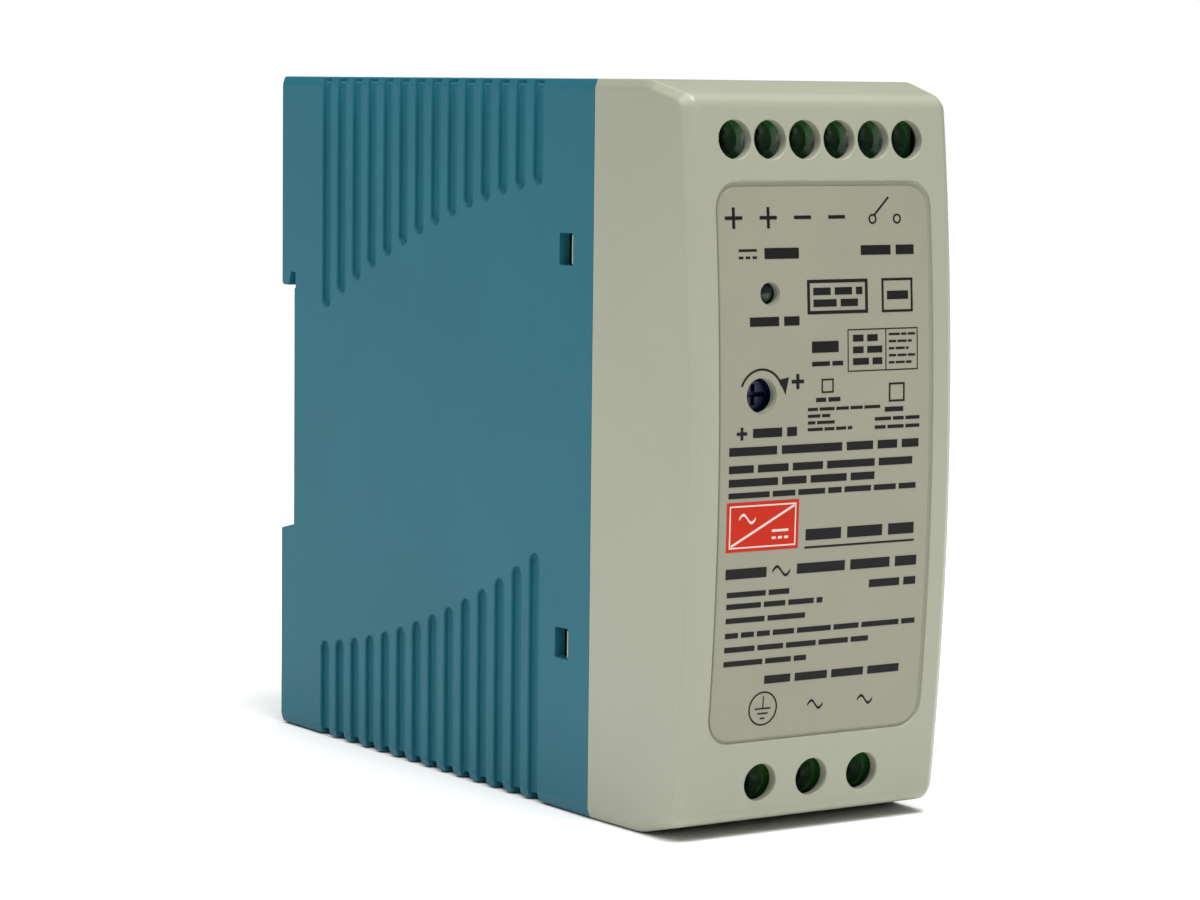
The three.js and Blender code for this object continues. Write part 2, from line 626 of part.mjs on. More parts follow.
// A box that stands on the main board, or the given distance over it.
const onBoard = (height, yRange, zRange, base = 0) => (
  box([DECK_X + base, DECK_X + base + height], yRange, zRange)
);

// A ring core that stands on its edge, with its axis along Z.
function ringCore(inner, outer, height, [x, y, z]) {
  const hole = bar('z', inner, [z - OVERCUT, z + height + OVERCUT], [x, y]);
  return bar('z', outer, [z, z + height], [x, y], 20).subtract(hole);
}

// Turns of wire wound over one side of a ring core, drawn as one thick arc-shaped sleeve.
function ringWinding(inner, outer, height, [x, y, z], startAngle, endAngle, wire) {
  const sector = new THREE.Shape();
  const far = outer + wire;
  const near = inner - wire;
  sector.absarc(0, 0, far, startAngle, endAngle);
  sector.absarc(0, 0, near, endAngle, startAngle, true);
  const geometry = new THREE.ExtrudeGeometry(sector, {
    depth: height + 2 * wire, bevelEnabled: false, curveSegments: 7,
  });
  geometry.translate(x, y, z - wire);
  // The hollow for the core is 0.1 mm larger than the core all round.
  return toSolid(geometry).subtract(ringCore(inner - 0.1, outer + 0.1, height + 0.2, [x, y, z - 0.1]));
}

const TRANSFORMER = {
  x: -1.2, y: 8, z: 47, halfX: 12, halfY: 6, halfZ: 14, legHalf: 3.5, windowX: 9.2, windowZ: 10.2,
};

function transformerCore() {
  const { x, y, z, halfX, halfY, halfZ, legHalf, windowX, windowZ } = TRANSFORMER;
  const block = box(about(x, halfX), about(y, halfY), about(z, halfZ));
  return cut(block, [-1, 1].map((hand) => {
    const sides = [x + hand * legHalf, x + hand * windowX];
    return box([Math.min(...sides), Math.max(...sides)], about(y, halfY + OVERCUT), about(z, windowZ));
  }));
}

// A rectangular tube round the core's middle leg.
function legTube(outerX, outerY, zRange, innerX, innerY) {
  const { x, y } = TRANSFORMER;
  const whole = box(about(x, outerX), about(y, outerY), zRange);
  return whole.subtract(box(about(x, innerX), about(y, innerY), [zRange[0] - 1, zRange[1] + 1]));
}

function transformerBobbin() {
  const { z, legHalf, halfY, windowZ, windowX } = TRANSFORMER;
  const end = windowZ - 0.3;
  const inner = [legHalf + 0.3, halfY + 0.3];
  const tube = legTube(inner[0] + 0.9, inner[1] + 0.9, about(z, end), ...inner);
  const flange = (zRange) => legTube(windowX - 0.3, halfY + 5, zRange, ...inner);
  return joined([tube, flange([z - end, z - end + 1]), flange([z + end - 1, z + end])]);
}

function transformerWinding() {
  const { z, legHalf, halfY, windowZ, windowX } = TRANSFORMER;
  return legTube(windowX - 0.5, halfY + 4.6, about(z, windowZ - 1.6), legHalf + 1.5, halfY + 1.5);
}

// A power package bolted flat to its heat sink: y is the sink's rear face.
const SINK_THICKNESS = 2.6;
const BOLT_X = DECK_X + 19;

function heatSink(y, [z0, z1], holeZ) {
  const plate = onBoard(26, [y - SINK_THICKNESS, y], [z0, z1], 0.4);
  const foot = onBoard(2, [y - SINK_THICKNESS - 3, y - SINK_THICKNESS + 0.5], [z0, z1], 0.4);
  return plate.add(foot).subtract(bar('y', 1.7, [y - 4, y + 1], [BOLT_X, holeZ], 16));
}

function powerPackage(y, z) {
  const face = y + 0.3;
  const tab = onBoard(16, [face, face + 1.2], about(z, 5), 5.6);
  const body = onBoard(9.6, [face, face + 4.4], about(z, 5.1), 4);
  const legs = [-LEG_PITCH, 0, LEG_PITCH].map((offset) => (
    onBoard(5, [face + 2, face + 2.6], about(z + offset, 0.4))
  ));
  return joined([tab, body, ...legs]).subtract(bar('y', 1.75, [face - 1, face + 2], [BOLT_X, z], 16));
}

function sinkScrew(y, z) {
  const face = y + 0.3 + 1.2 + 0.2;
  const place = [BOLT_X, z];
  const head = bar('y', 2.8, [face, face + 2], place, 16);
  const shaft = bar('y', 1.45, [y - SINK_THICKNESS - 1, face + 0.5], place, 12);
  return head.add(shaft).subtract(box(about(place[0], 2), [face + 1, face + 3], about(z, 0.35)));
}

function bridgeRectifier(y, z) {
  const body = onBoard(12, about(y, 1.8), about(z, 7.4), 3);
  const legs = [-5.4, -1.8, 1.8, 5.4].map((offset) => onBoard(4, about(y, 0.4), about(z + offset, 0.4)));
  return joined([body, ...legs]);
}

// A coated disc standing on two leads, facing Y.
function disc(radius, thickness, y, z) {
  const centreX = DECK_X + radius + 2;
  const body = bar('y', radius, [y, y + thickness], [centreX, z], 20);
  const middleY = y + thickness / 2;
  const leads = [-2.5, 2.5].map((offset) => onBoard(4, about(middleY, 0.35), about(z + offset, 0.35)));
  return joined([body, ...leads]);
}

// A dual-in-line package: a moulded body on bent legs.
function dualInLine(rows, y, z, width, legs) {
  const length = rows * LEG_PITCH - 0.4;
  const body = onBoard(3.2, about(y, width / 2), about(z, length / 2), 0.6);
  const feet = [];
  for (let index = 0; index < rows; index += 1) {
    const legZ = z + (index - (rows - 1) / 2) * LEG_PITCH;
    feet.push(onBoard(2, about(y - width / 2 - 0.1, 0.25), about(legZ, legs)));
    feet.push(onBoard(2, about(y + width / 2 + 0.1, 0.25), about(legZ, legs)));
  }
  return joined([body, ...feet]);
}

// A glass tube with two end caps, lying along Z.
function fuse(y, z) {
  const body = bar('z', 2, about(z, 5.5), [DECK_X + 2.3, y], 16);
  const caps = [-1, 1].map((hand) => bar('z', 2.2, about(z + hand * 4, 1.4), [DECK_X + 2.4, y], 16));
  return joined([body, ...caps]);
}

// A thin sheet between the main board's solder side and the housing wall.
const insulationSheet = () => box([-17.5, -17.1], [-18, 42], [4.6, 85.2]);

// ---------------------------------------------------------------- assembly

addPiece('rear_housing', rearHousing(), FINISH.housing);
addPiece('front_cover', frontCover(), FINISH.cover);
addPiece('front_label', frontLabel(), FINISH.label);
addPiece('din_latch', railLatch(), FINISH.blackPlastic);
addPiece('latch_spring', latchSpring(), FINISH.steel);

[OUTPUT_ROW, INPUT_ROW].forEach((row) => {
  addPiece(`${row.name}_terminal_block`, terminalBlock(row), FINISH.terminal);
  forEachPole(row, (x, number) => {
    addPiece(`${row.name}_screw_${number}`, terminalScrew(row, x), FINISH.steel);
    addPiece(`${row.name}_clamp_${number}`, terminalClamp(row, x), FINISH.brass);
  });
});

addPiece('output_board', frontBoard(46, 87.4), FINISH.board);
addPiece('input_board', frontBoard(2.6, 22), FINISH.board);
addPiece('status_led', statusLed(), FINISH.ledLens);
addPiece('trimmer_body', trimmerBody(), FINISH.trimmerBlue);
addPiece('trimmer_rotor', trimmerRotor(), FINISH.trimmerBlue);

const mainBoardSpan = [MAIN_BOARD.front, MAIN_BOARD.rear];
addPiece('main_board', box(
  [MAIN_BOARD_X, MAIN_BOARD_X + BOARD_THICKNESS],
  mainBoardSpan,
  [MAIN_BOARD.low, MAIN_BOARD.high],
), FINISH.board);
addPiece('insulation_sheet', insulationSheet(), FINISH.fishPaper);

addPiece('transformer_core', transformerCore(), FINISH.ferrite);
addPiece('transformer_bobbin', transformerBobbin(), FINISH.blackPlastic);
addPiece('transformer_winding', transformerWinding(), FINISH.yellowTape);
addPiece('bulk_capacitor', capacitor(9, 30, 32, 18), FINISH.sleeve);
addPiece('output_capacitor_1', capacitor(5, 20, -19, 63), FINISH.sleeve);
addPiece('output_capacitor_2', capacitor(5, 20, -19, 76), FINISH.sleeve);

const CHOKE_PLACE = [DECK_X + 10, -17, 10];
addPiece('input_choke_core', ringCore(4, 8, 6, CHOKE_PLACE), FINISH.ferrite);
[0, Math.PI].forEach((middle, index) => {
  const winding = ringWinding(4, 8, 6, CHOKE_PLACE, middle - 1.2, middle + 1.2, 1);
  addPiece(`input_choke_winding_${index + 1}`, winding, FINISH.copper);
});

const INDUCTOR_PLACE = [DECK_X + 9, 8, 72];
addPiece('output_inductor_core', ringCore(3.5, 7, 6, INDUCTOR_PLACE), FINISH.greenCeramic);
const inductorWinding = ringWinding(3.5, 7, 6, INDUCTOR_PLACE, -2.6, 2.6, 1);
addPiece('output_inductor_winding', inductorWinding, FINISH.copper);

addPiece('filter_capacitor', onBoard(14, [-3.5, 4], [7, 19]), FINISH.yellowTape);
addPiece('bridge_rectifier', bridgeRectifier(0, 29), FINISH.blackPlastic);
addPiece('fuse', fuse(14, 10), FINISH.whitePlastic);
addPiece('inrush_thermistor', disc(4.5, 3.5, -18, 32), FINISH.greenCeramic);
addPiece('surge_varistor', disc(5, 4, -10, 32), FINISH.blueCeramic);
addPiece('safety_capacitor', disc(3.5, 3, -10, 50), FINISH.blueCeramic);

addPiece('switch_heatsink', heatSink(26, [32, 50], 42), FINISH.aluminium);
addPiece('power_switch', powerPackage(26, 42), FINISH.blackPlastic);
addPiece('switch_screw', sinkScrew(26, 42), FINISH.steel);
addPiece('rectifier_heatsink', heatSink(26, [62, 84], 74), FINISH.aluminium);
addPiece('output_rectifier', powerPackage(26, 74), FINISH.blackPlastic);
addPiece('rectifier_screw', sinkScrew(26, 74), FINISH.steel);

addPiece('signal_relay', onBoard(10, [-11, -3], [66, 82]), FINISH.whitePlastic);
addPiece('optocoupler', dualInLine(2, 25.5, 56, 6.4, 0.25), FINISH.whitePlastic);
addPiece('control_chip', dualInLine(4, -17, 46, 6.4, 0.25), FINISH.blackPlastic);

export default root;
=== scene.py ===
"""Looks of the DIN rail power supply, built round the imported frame. Sizes are in millimetres
until finish_piece() scales a piece to metres."""

import math
import random

import bmesh
import bpy
from mathutils import Matrix, Vector


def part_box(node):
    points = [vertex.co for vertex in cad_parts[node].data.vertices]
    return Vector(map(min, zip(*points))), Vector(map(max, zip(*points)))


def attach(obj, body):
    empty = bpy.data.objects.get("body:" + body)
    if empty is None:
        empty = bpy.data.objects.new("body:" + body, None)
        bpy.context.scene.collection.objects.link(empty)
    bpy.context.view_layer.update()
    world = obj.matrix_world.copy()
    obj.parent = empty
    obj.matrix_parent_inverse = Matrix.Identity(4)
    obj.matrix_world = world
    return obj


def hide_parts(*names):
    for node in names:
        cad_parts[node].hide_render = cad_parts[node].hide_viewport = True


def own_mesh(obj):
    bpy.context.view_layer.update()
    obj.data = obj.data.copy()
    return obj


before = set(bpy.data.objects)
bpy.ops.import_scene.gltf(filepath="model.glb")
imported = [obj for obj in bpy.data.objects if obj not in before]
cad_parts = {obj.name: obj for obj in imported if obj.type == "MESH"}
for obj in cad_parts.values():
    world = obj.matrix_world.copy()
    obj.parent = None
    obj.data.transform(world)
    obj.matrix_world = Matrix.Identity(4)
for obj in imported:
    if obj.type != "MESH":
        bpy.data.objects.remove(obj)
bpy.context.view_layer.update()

MM = 0.001
random.seed(24)

# ---------------------------------------------------------------- sizes taken from the frame


def node_box(name):
    """Lowest and highest corner of a CAD node in millimetres."""
    return [[round(value / MM, 3) for value in corner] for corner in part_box(name)]


def node_centre(name):
    low, high = node_box(name)
    return [(a + b) / 2 for a, b in zip(low, high)]


HOUSING_LOW, HOUSING_HIGH = node_box("rear_housing")
HALF_WIDTH = HOUSING_HIGH[0]
HEIGHT = HOUSING_HIGH[2]
MID_Z = HEIGHT / 2
FRONT_Y = node_box("front_cover")[0][1]
REAR_Y = HOUSING_HIGH[1]
HOUSING_FRONT_Y = HOUSING_LOW[1]
SEAM_GAP = 0.1
COVER_REAR_Y = HOUSING_FRONT_Y - SEAM_GAP
WALL = 2.0
SAME = 1e-3  # places closer than this count as one

# Front cover: drafted sides, bulging front, sloped top and bottom, chamfered front edges.
COVER_WALL = 1.3
COVER_EDGE = 1.16
EDGE_REACH = 0.35
EDGE_SPREAD = 1.12  # the chamfer reaches further along the front than along the side
EDGE_TAPER = (-37.5, -47.5)  # the chamfer widens between these two places along Y
SEAM_EDGE = 0.3  # its width at the seam, as a share of its width at the front
SEAM_ROUNDING = 0.3
COVER_DRAFT = 0.61
FRONT_RADIUS = 335.0
SLOPE_BREAK_Y = -39.7
SLOPE = math.radians(13.7)
BREAK_REACH = 1.2
CORNER_REACH = 1.6

# Label recess and label.
RECESS_HALF_WIDTH = 15.85
RECESS_LOW = 11.4
RECESS_HIGH = 78.2
RECESS_RADIUS = 3.2
RECESS_DEPTH = 0.4
LABEL_INSET = 0.25
LABEL_TOP_GAP = 0.6
LABEL_BACK = 0.36
LABEL_FACE = 0.19

# Cooling grooves: 14 on each side at the top, and as many at the bottom.
GROOVE_COUNT = 14
GROOVE_PITCH = 4.123
GROOVE_REAR_Y = 38.6
GROOVE_HALF = 1.15
GROOVE_SIDE_DEPTH = 0.72
GROOVE_TOP_DEPTH = 0.8
GROOVE_SHORTEST = 13.0
GROOVE_GROWTH = 0.62
GROOVE_CURVE = 0.0596
MOUTH_RADIUS = 0.22
FLOOR_RADIUS = 0.2

# Rail seat, hook and latch guide in the housing's rear face.
HOUSING_EDGE_DROP = 1.1
HOUSING_EDGE_INSET = 0.35
HOUSING_ROUNDING = 0.8
SEAT_Y = 46.5
SEAT_TOP_TIP_Z = 61.3
SEAT_TOP_ROOT_Z = 63.2
SEAT_LOW_TIP_Z = 27.4
SEAT_LOW_ROOT_Z = 28.2
HOOK_THROAT_Y = 48.2
HOOK_ROOT_Y = 47.6
RELIEF_Z = 61.0
RELIEF_Y = 46.2
REAR_WALL_Y = 44.0
GUIDE_STEP_Y = 48.9
GUIDE_FLANGE_HALF = 9.3
GUIDE_WEB_HALF = 6.3

# Snap windows in the housing's sides: front and rear Y, low and high Z.
SNAP_WINDOWS = [(-24.4, -21.35, 67.3, 71.25), (-24.2, -21.15, 18.8, 22.65)]
WINDOW_POCKET = (17.9, 18.5)  # X of the pocket behind each window, which thins the wall

# Terminal blocks: Y of the front, rear and screw head seat, then of the clamp chamber.
BLOCK_FRONT_Y = -45.0
BLOCK_REAR_Y = -30.6
HEAD_SEAT_Y = -41.45
CHAMBER_FRONT_Y = -40.9
CHAMBER_REAR_Y = -31.4
WIRE_REAR_Y = -32.2

# Terminal rows, numbered from left to right as seen from the front.
OUTPUT_ROW = {
    "name": "output", "side": 1, "count": 6, "pitch": 5.08, "inset": 6.95,
    "hole": 2.32, "head": 1.9, "shaft": 1.1, "chamber": 2.12,
}
INPUT_ROW = {
    "name": "input", "side": -1, "count": 3, "pitch": 7.62, "inset": 6.3,
    "hole": 2.3, "head": 1.95, "shaft": 1.35, "chamber": 2.95,
}
ROWS = [OUTPUT_ROW, INPUT_ROW]

LED_X, _, LED_Z = node_centre("status_led")
LED_HOLE = 1.3
LENS_RADIUS = 1.15
LENS_LENGTH = 4.6
TRIMMER_X, _, TRIMMER_Z = node_centre("trimmer_rotor")
TRIMMER_HOLE = 2.05
TRIMMER_HALF = 3.4
TRIMMER_LENGTH = 7.1

# ---------------------------------------------------------------- mesh helpers


def new_object(name, vertices, faces):
    """A closed mesh object with its faces turned outwards."""
    mesh = bpy.data.meshes.new(name)
    mesh.from_pydata([tuple(vertex) for vertex in vertices], [], faces)
    shaped = bmesh.new()
    shaped.from_mesh(mesh)
    bmesh.ops.remove_doubles(shaped, verts=shaped.verts, dist=1e-5)
    bmesh.ops.recalc_face_normals(shaped, faces=shaped.faces)
    shaped.to_mesh(mesh)
    shaped.free()
    made = bpy.data.objects.new(name, mesh)
    bpy.context.scene.collection.objects.link(made)
    return made


def stacked(name, rings):
    """A solid through rings of equal length, closed by a flat cap at each end."""
    count = len(rings[0])
    vertices = [point for ring in rings for point in ring]
    last = len(vertices) - count
    faces = [tuple(range(count)), tuple(range(last, last + count))]
    for start in range(0, last, count):
        for index in range(count):
            following = (index + 1) % count
            near, far = start + index, start + following
            faces.append((near, far, far + count, near + count))
    return new_object(name, vertices, faces)


def carve(target, tools, operation="DIFFERENCE"):
    """Applies a boolean with each tool in turn, then removes the tools."""
    for tool in tools:
        modifier = target.modifiers.new("carve", "BOOLEAN")
        modifier.operation = operation
        modifier.solver = "EXACT"
        modifier.object = tool
        apply_modifiers(target)
        bpy.data.objects.remove(tool)
    return target


def apply_modifiers(target):
    depsgraph = bpy.context.evaluated_depsgraph_get()
    mesh = bpy.data.meshes.new_from_object(target.evaluated_get(depsgraph))
    target.modifiers.clear()
    target.data = mesh


def merged(name, parts):
    """One object from several that don't touch each other."""
    vertices, faces = [], []
    for part in parts:
        start = len(vertices)
        vertices += [vertex.co.copy() for vertex in part.data.vertices]
        faces += [tuple(start + index for index in face.vertices) for face in part.data.polygons]
        bpy.data.objects.remove(part)
    return new_object(name, vertices, faces)


def box(name, x_range, y_range, z_range):
    """A box from its ranges along X, Y and Z."""
    (x0, x1), (y0, y1), (z0, z1) = x_range, y_range, z_range
    rings = [[(x, y0, z0), (x, y1, z0), (x, y1, z1), (x, y0, z1)] for x in (x0, x1)]
    return stacked(name, rings)


def about(centre, half):
    return (centre - half, centre + half)


def arc(centre, radius, start, end, steps):
    """Points round part of a circle, angles in degrees."""
    points = []
    for step in range(steps + 1):
        angle = math.radians(start + (end - start) * step / steps)
        points.append((centre[0] + radius * math.cos(angle), centre[1] + radius * math.sin(angle)))
    return points


def bend(start, corner, end, steps):
    """Points along a quadratic curve that rounds a corner."""
    points = []
    for step in range(steps + 1):
        t = step / steps
        weights = ((1 - t) ** 2, 2 * t * (1 - t), t * t)
        points.append(tuple(
            sum(weight * point[axis] for weight, point in zip(weights, (start, corner, end)))
            for axis in (0, 1)
        ))
    return points


def rounded_rectangle(x_range, z_range, radius, steps=8):
    (x0, x1), (z0, z1) = x_range, z_range
    corners = [(x1, z0, -90), (x1, z1, 0), (x0, z1, 90), (x0, z0, 180)]
    points = []
    for x, z, angle in corners:
        centre = (x - math.copysign(radius, x - x0 - 1e-6), z - math.copysign(radius, z - z0 - 1e-6))
        points += arc(centre, radius, angle, angle + 90, steps)
    return points


def circle(x, z, radius, segments=48):
    return arc((x, z), radius, 0, 360 * (1 - 1 / segments), segments - 1)


def level_z(side, inset):
    """A height given as a distance in from the top (side 1) or the bottom (side -1)."""
    return HEIGHT - inset if side > 0 else inset


def level_range(side, inset_a, inset_b):
    return tuple(sorted((level_z(side, inset_a), level_z(side, inset_b))))


def poles(row):
    """Centre of each terminal screw in a row, as x, z and number."""
    for index in range(row["count"]):
        x = (index - (row["count"] - 1) / 2) * row["pitch"]
        yield x, level_z(row["side"], row["inset"]), index + 1


def turned(name, profile, centre, segments=40):
    """A solid turned round an axis along Y, from a profile of (radius, y) points."""
    rings = []
    for radius, y in profile:
        rings.append([(x, y, z) for x, z in circle(centre[0], centre[1], radius, segments)])
    return stacked(name, rings)


def bevel(target, width, segments=2, angle=40):
    """Rounds the sharp edges of a finished shape."""
    modifier = target.modifiers.new("bevel", "BEVEL")
    modifier.width = width
    modifier.segments = segments
    modifier.limit_method = "ANGLE"
    modifier.angle_limit = math.radians(angle)
    apply_modifiers(target)
    return target


def smooth(target, angle=35):
    """Smooth shading that keeps edges sharper than the angle."""
    target.data.shade_smooth()
    target.data.set_sharp_from_angle(angle=math.radians(angle))


def finish_piece(target, material, body, replaced=(), angle=35):
    """Scales a piece to metres, gives it its material and hangs it on a body of the frame."""
    target.data.transform(Matrix.Scale(MM, 4))
    smooth(target, angle)
    modifier = target.modifiers.new("weighted", "WEIGHTED_NORMAL")
    modifier.keep_sharp = True
    target.data.materials.clear()
    target.data.materials.append(material)
    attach(target, body)
    if replaced:
        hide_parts(*replaced)
    return target


# ---------------------------------------------------------------- materials


def add_node(tree, kind, links=(), **values):
    """A shader node with its inputs set or linked. Links are (input name, node, output name)."""
    node = tree.nodes.new(kind)
    for key, value in values.items():
        setattr(node, key, value)
    for name, source, output in links:
        tree.links.new(source.outputs[output], node.inputs[name])
    return node


def ramp(tree, source, output, low, high, span=(0.35, 0.65)):
    """A colour ramp between two colours."""
    node = add_node(tree, "ShaderNodeValToRGB", [("Fac", source, output)])
    for stop, colour, place in zip(node.color_ramp.elements, (low, high), span):
        stop.color = (*colour, 1)
        stop.position = place
    return node


def shaded(colour, factor):
    return tuple(min(1.0, channel * factor) for channel in colour)


def noise(tree, scale, detail=3.0, roughness=0.55, stretch=(1, 1, 1)):
    place = add_node(tree, "ShaderNodeTexCoord")
    mapping = add_node(tree, "ShaderNodeMapping", [("Vector", place, "Object")])
    mapping.inputs["Scale"].default_value = stretch
    node = add_node(tree, "ShaderNodeTexNoise", [("Vector", mapping, "Vector")])
    node.inputs["Scale"].default_value = scale
    node.inputs["Detail"].default_value = detail
    node.inputs["Roughness"].default_value = roughness
    return node


def surface(
    name, colour, variation=0.05, patch=60, roughness=(0.4, 0.5), metallic=0.0,
    grain=1500, grain_depth=0.004, stretch=(1, 1, 1), sockets=None,
):
    """A moulded or plated surface: faint colour patches, uneven gloss and fine grain.
    Patch and grain are noise scales in waves per metre, grain_depth is in millimetres."""
    material = bpy.data.materials.new(name)
    material.use_nodes = True
    tree = material.node_tree
    shader = tree.nodes["Principled BSDF"]
    patches = noise(tree, patch, 4.0, 0.6, stretch)
    colours = ramp(tree, patches, "Fac", shaded(colour, 1 - variation), shaded(colour, 1 + variation))
    tree.links.new(colours.outputs["Color"], shader.inputs["Base Color"])
    fine = noise(tree, grain, 3.0, 0.6, stretch)
    gloss = add_node(tree, "ShaderNodeMapRange", [("Value", fine, "Fac")])
    gloss.inputs["From Min"].default_value = 0.3
    gloss.inputs["From Max"].default_value = 0.7
    gloss.inputs["To Min"].default_value = roughness[0]
    gloss.inputs["To Max"].default_value = roughness[1]
    tree.links.new(gloss.outputs["Result"], shader.inputs["Roughness"])
    bump = add_node(tree, "ShaderNodeBump", [("Height", fine, "Fac")])
    bump.inputs["Distance"].default_value = grain_depth * MM
    bump.inputs["Strength"].default_value = 1.0
    tree.links.new(bump.outputs["Normal"], shader.inputs["Normal"])
    shader.inputs["Metallic"].default_value = metallic
    for socket, value in (sockets or {}).items():
        shader.inputs[socket].default_value = value
    return material


MATERIALS = {
    "housing_plastic": surface(
        "housing_plastic", (0.0135, 0.131, 0.177), 0.035, 45, (0.46, 0.56), grain=2600,
        grain_depth=0.006, sockets={"Specular IOR Level": 0.25},
    ),
    "cover_plastic": surface(
        "cover_plastic", (0.343, 0.353, 0.27), 0.02, 40, (0.3, 0.36), grain=2600, grain_depth=0.003,
        sockets={"Specular IOR Level": 0.45},
    ),
    "label_film": surface(
        "label_film", (0.288, 0.283, 0.213), 0.025, 60, (0.34, 0.42), grain=3500, grain_depth=0.0015,
        sockets={"Specular IOR Level": 0.35},
    ),
    "latch_plastic": surface("latch_plastic", (0.02, 0.02, 0.022), 0.1, 80, (0.38, 0.5), grain=1800),
    "zinc_steel": surface(
        "zinc_steel", (0.6, 0.61, 0.62), 0.08, 300, (0.25, 0.38), 1.0, 900, 0.003,
    ),
    "plated_brass": surface(
        "plated_brass", (0.62, 0.5, 0.25), 0.1, 250, (0.25, 0.38), 1.0, 900, 0.003,
    ),
    "terminal_plastic": surface(
        "terminal_plastic", (0.03, 0.115, 0.03), 0.08, 120, (0.14, 0.22), grain=1800, grain_depth=0.002,
    ),
    "circuit_board": surface(
        "circuit_board", (0.02, 0.14, 0.05), 0.2, 260, (0.28, 0.4), grain=1100, grain_depth=0.01,
    ),
    "led_lens": surface(
        "led_lens", (0.012, 0.034, 0.022), 0.06, 200, (0.2, 0.28), grain=1500, grain_depth=0.001,
        sockets={"Transmission Weight": 0.25},
    ),
    "trimmer_plastic": surface(
        "trimmer_plastic", (0.009, 0.013, 0.06), 0.08, 200, (0.22, 0.32), grain=1500,
    ),
    "white_plastic": surface("white_plastic", (0.75, 0.74, 0.68), 0.04, 200, (0.36, 0.46)),
    "insulating_paper": surface(
        "insulating_paper", (0.65, 0.58, 0.36), 0.1, 350, (0.7, 0.85), grain=1400, grain_depth=0.02,
    ),
    "ferrite": surface("ferrite", (0.03, 0.03, 0.033), 0.2, 500, (0.5, 0.7), grain=1200, grain_depth=0.012),
    "black_plastic": surface("black_plastic", (0.015, 0.015, 0.017), 0.15, 200, (0.35, 0.5)),
    "yellow_tape": surface(
        "yellow_tape", (0.75, 0.55, 0.06), 0.06, 120, (0.25, 0.4), grain=500, grain_depth=0.01,
        stretch=(1, 1, 6),
    ),
    "capacitor_sleeve": surface(
        "capacitor_sleeve", (0.02, 0.03, 0.12), 0.1, 150, (0.22, 0.32), grain=600, grain_depth=0.006,
    ),
    "copper_wire": surface(
        "copper_wire", (0.55, 0.22, 0.07), 0.12, 300, (0.22, 0.34), 1.0, 700, 0.006,
    ),
    "green_coating": surface(
        "green_coating", (0.05, 0.22, 0.08), 0.1, 180, (0.25, 0.38), grain=500, grain_depth=0.012,
    ),
    "blue_coating": surface(
        "blue_coating", (0.03, 0.13, 0.42), 0.1, 180, (0.22, 0.35), grain=500, grain_depth=0.012,
    ),
    "sink_aluminium": surface(
        "sink_aluminium", (0.62, 0.63, 0.64), 0.05, 300, (0.28, 0.42), 1.0, 900, 0.004,
        stretch=(1, 1, 0.08),
    ),
    "print_dark": surface(
        "print_dark", (0.009, 0.009, 0.009), 0.1, 300, (0.36, 0.46), grain=3000, grain_depth=0.001,
        sockets={"Specular IOR Level": 0.15},
    ),
    "print_red": surface(
        "print_red", (0.5, 0.02, 0.005), 0.05, 200, (0.34, 0.42), grain=3000, grain_depth=0.001,
        sockets={"Specular IOR Level": 0.15},
    ),
    "print_pale": surface(
        "print_pale", (0.62, 0.58, 0.52), 0.04, 200, (0.34, 0.42), grain=3000, grain_depth=0.001,
    ),
}

# ---------------------------------------------------------------- rear housing


def mouth_profile(depth):
    """Offset from a groove's wall, and depth under the face, from the mouth down to the floor."""
    points = [(0.741 * MOUTH_RADIUS + 0.29, 0.034 * MOUTH_RADIUS - 0.078)]
    for angle in (15, 40, 65, 90):
        turn = math.radians(angle)
        offset = MOUTH_RADIUS * (1 - math.sin(turn))
        points.append((offset, MOUTH_RADIUS * (1 - math.cos(turn))))
    for angle in (0, 30, 60, 90):
        turn = math.radians(angle)
        offset = -FLOOR_RADIUS * (1 - math.cos(turn))
        points.append((offset, depth - FLOOR_RADIUS * (1 - math.sin(turn))))
    return points


def groove_places():
    """Middle Y and lengths at the top and bottom of each groove."""
    for index in range(GROOVE_COUNT):
        middle = GROOVE_REAR_Y - GROOVE_PITCH * index - GROOVE_HALF
        for side in (1, -1):
            # The top grooves are longest at the rear and the bottom ones at the front.
            step = GROOVE_COUNT - 1 - index if side > 0 else index
            length = GROOVE_SHORTEST + GROOVE_GROWTH * step + GROOVE_CURVE * step ** 2
            yield middle, side, length


def side_groove_tool(middle, side, length, hand):
    """Cuts one groove in a side face. It runs out past the top or bottom and has a round end."""
    rings = []
    for offset, depth in mouth_profile(GROOVE_SIDE_DEPTH):
        radius = GROOVE_HALF + offset
        round_z = level_z(side, length - GROOVE_HALF)
        ends = (180, 360) if side > 0 else (180, 0)
        points = arc((middle, round_z), radius, *ends, 16)
        points = [(middle - radius, level_z(side, -1))] + points + [(middle + radius, level_z(side, -1))]
        rings.append([(hand * (HALF_WIDTH - depth), y, z) for y, z in points])
    return stacked("groove", rings)


def top_groove_tool(middle, side):
    """Cuts one groove across the top or bottom face, from side to side."""
    profile = mouth_profile(GROOVE_TOP_DEPTH)
    half = [(offset + GROOVE_HALF, depth) for offset, depth in profile]
    section = half + [(-offset, depth) for offset, depth in reversed(half)]
    span = HALF_WIDTH + 1
    rings = [[(x, middle + y, level_z(side, depth)) for y, depth in section] for x in (-span, span)]
    return stacked("groove", rings)


def vent_tool(middle, side, hand):
    """Cuts one ventilation slot with round ends through the groove floor."""
    inner, outer, half = 2.0, 14.0, 0.75
    points = arc((hand * (outer - half), middle), half, -90 * hand, 90 * hand, 8)
    points += arc((hand * (inner + half), middle), half, 90 * hand, 270 * hand, 8)
    low, high = level_range(side, -1, WALL + 1)
    return stacked("vent", [[(x, y, z) for x, y in points] for z in (low, high)])


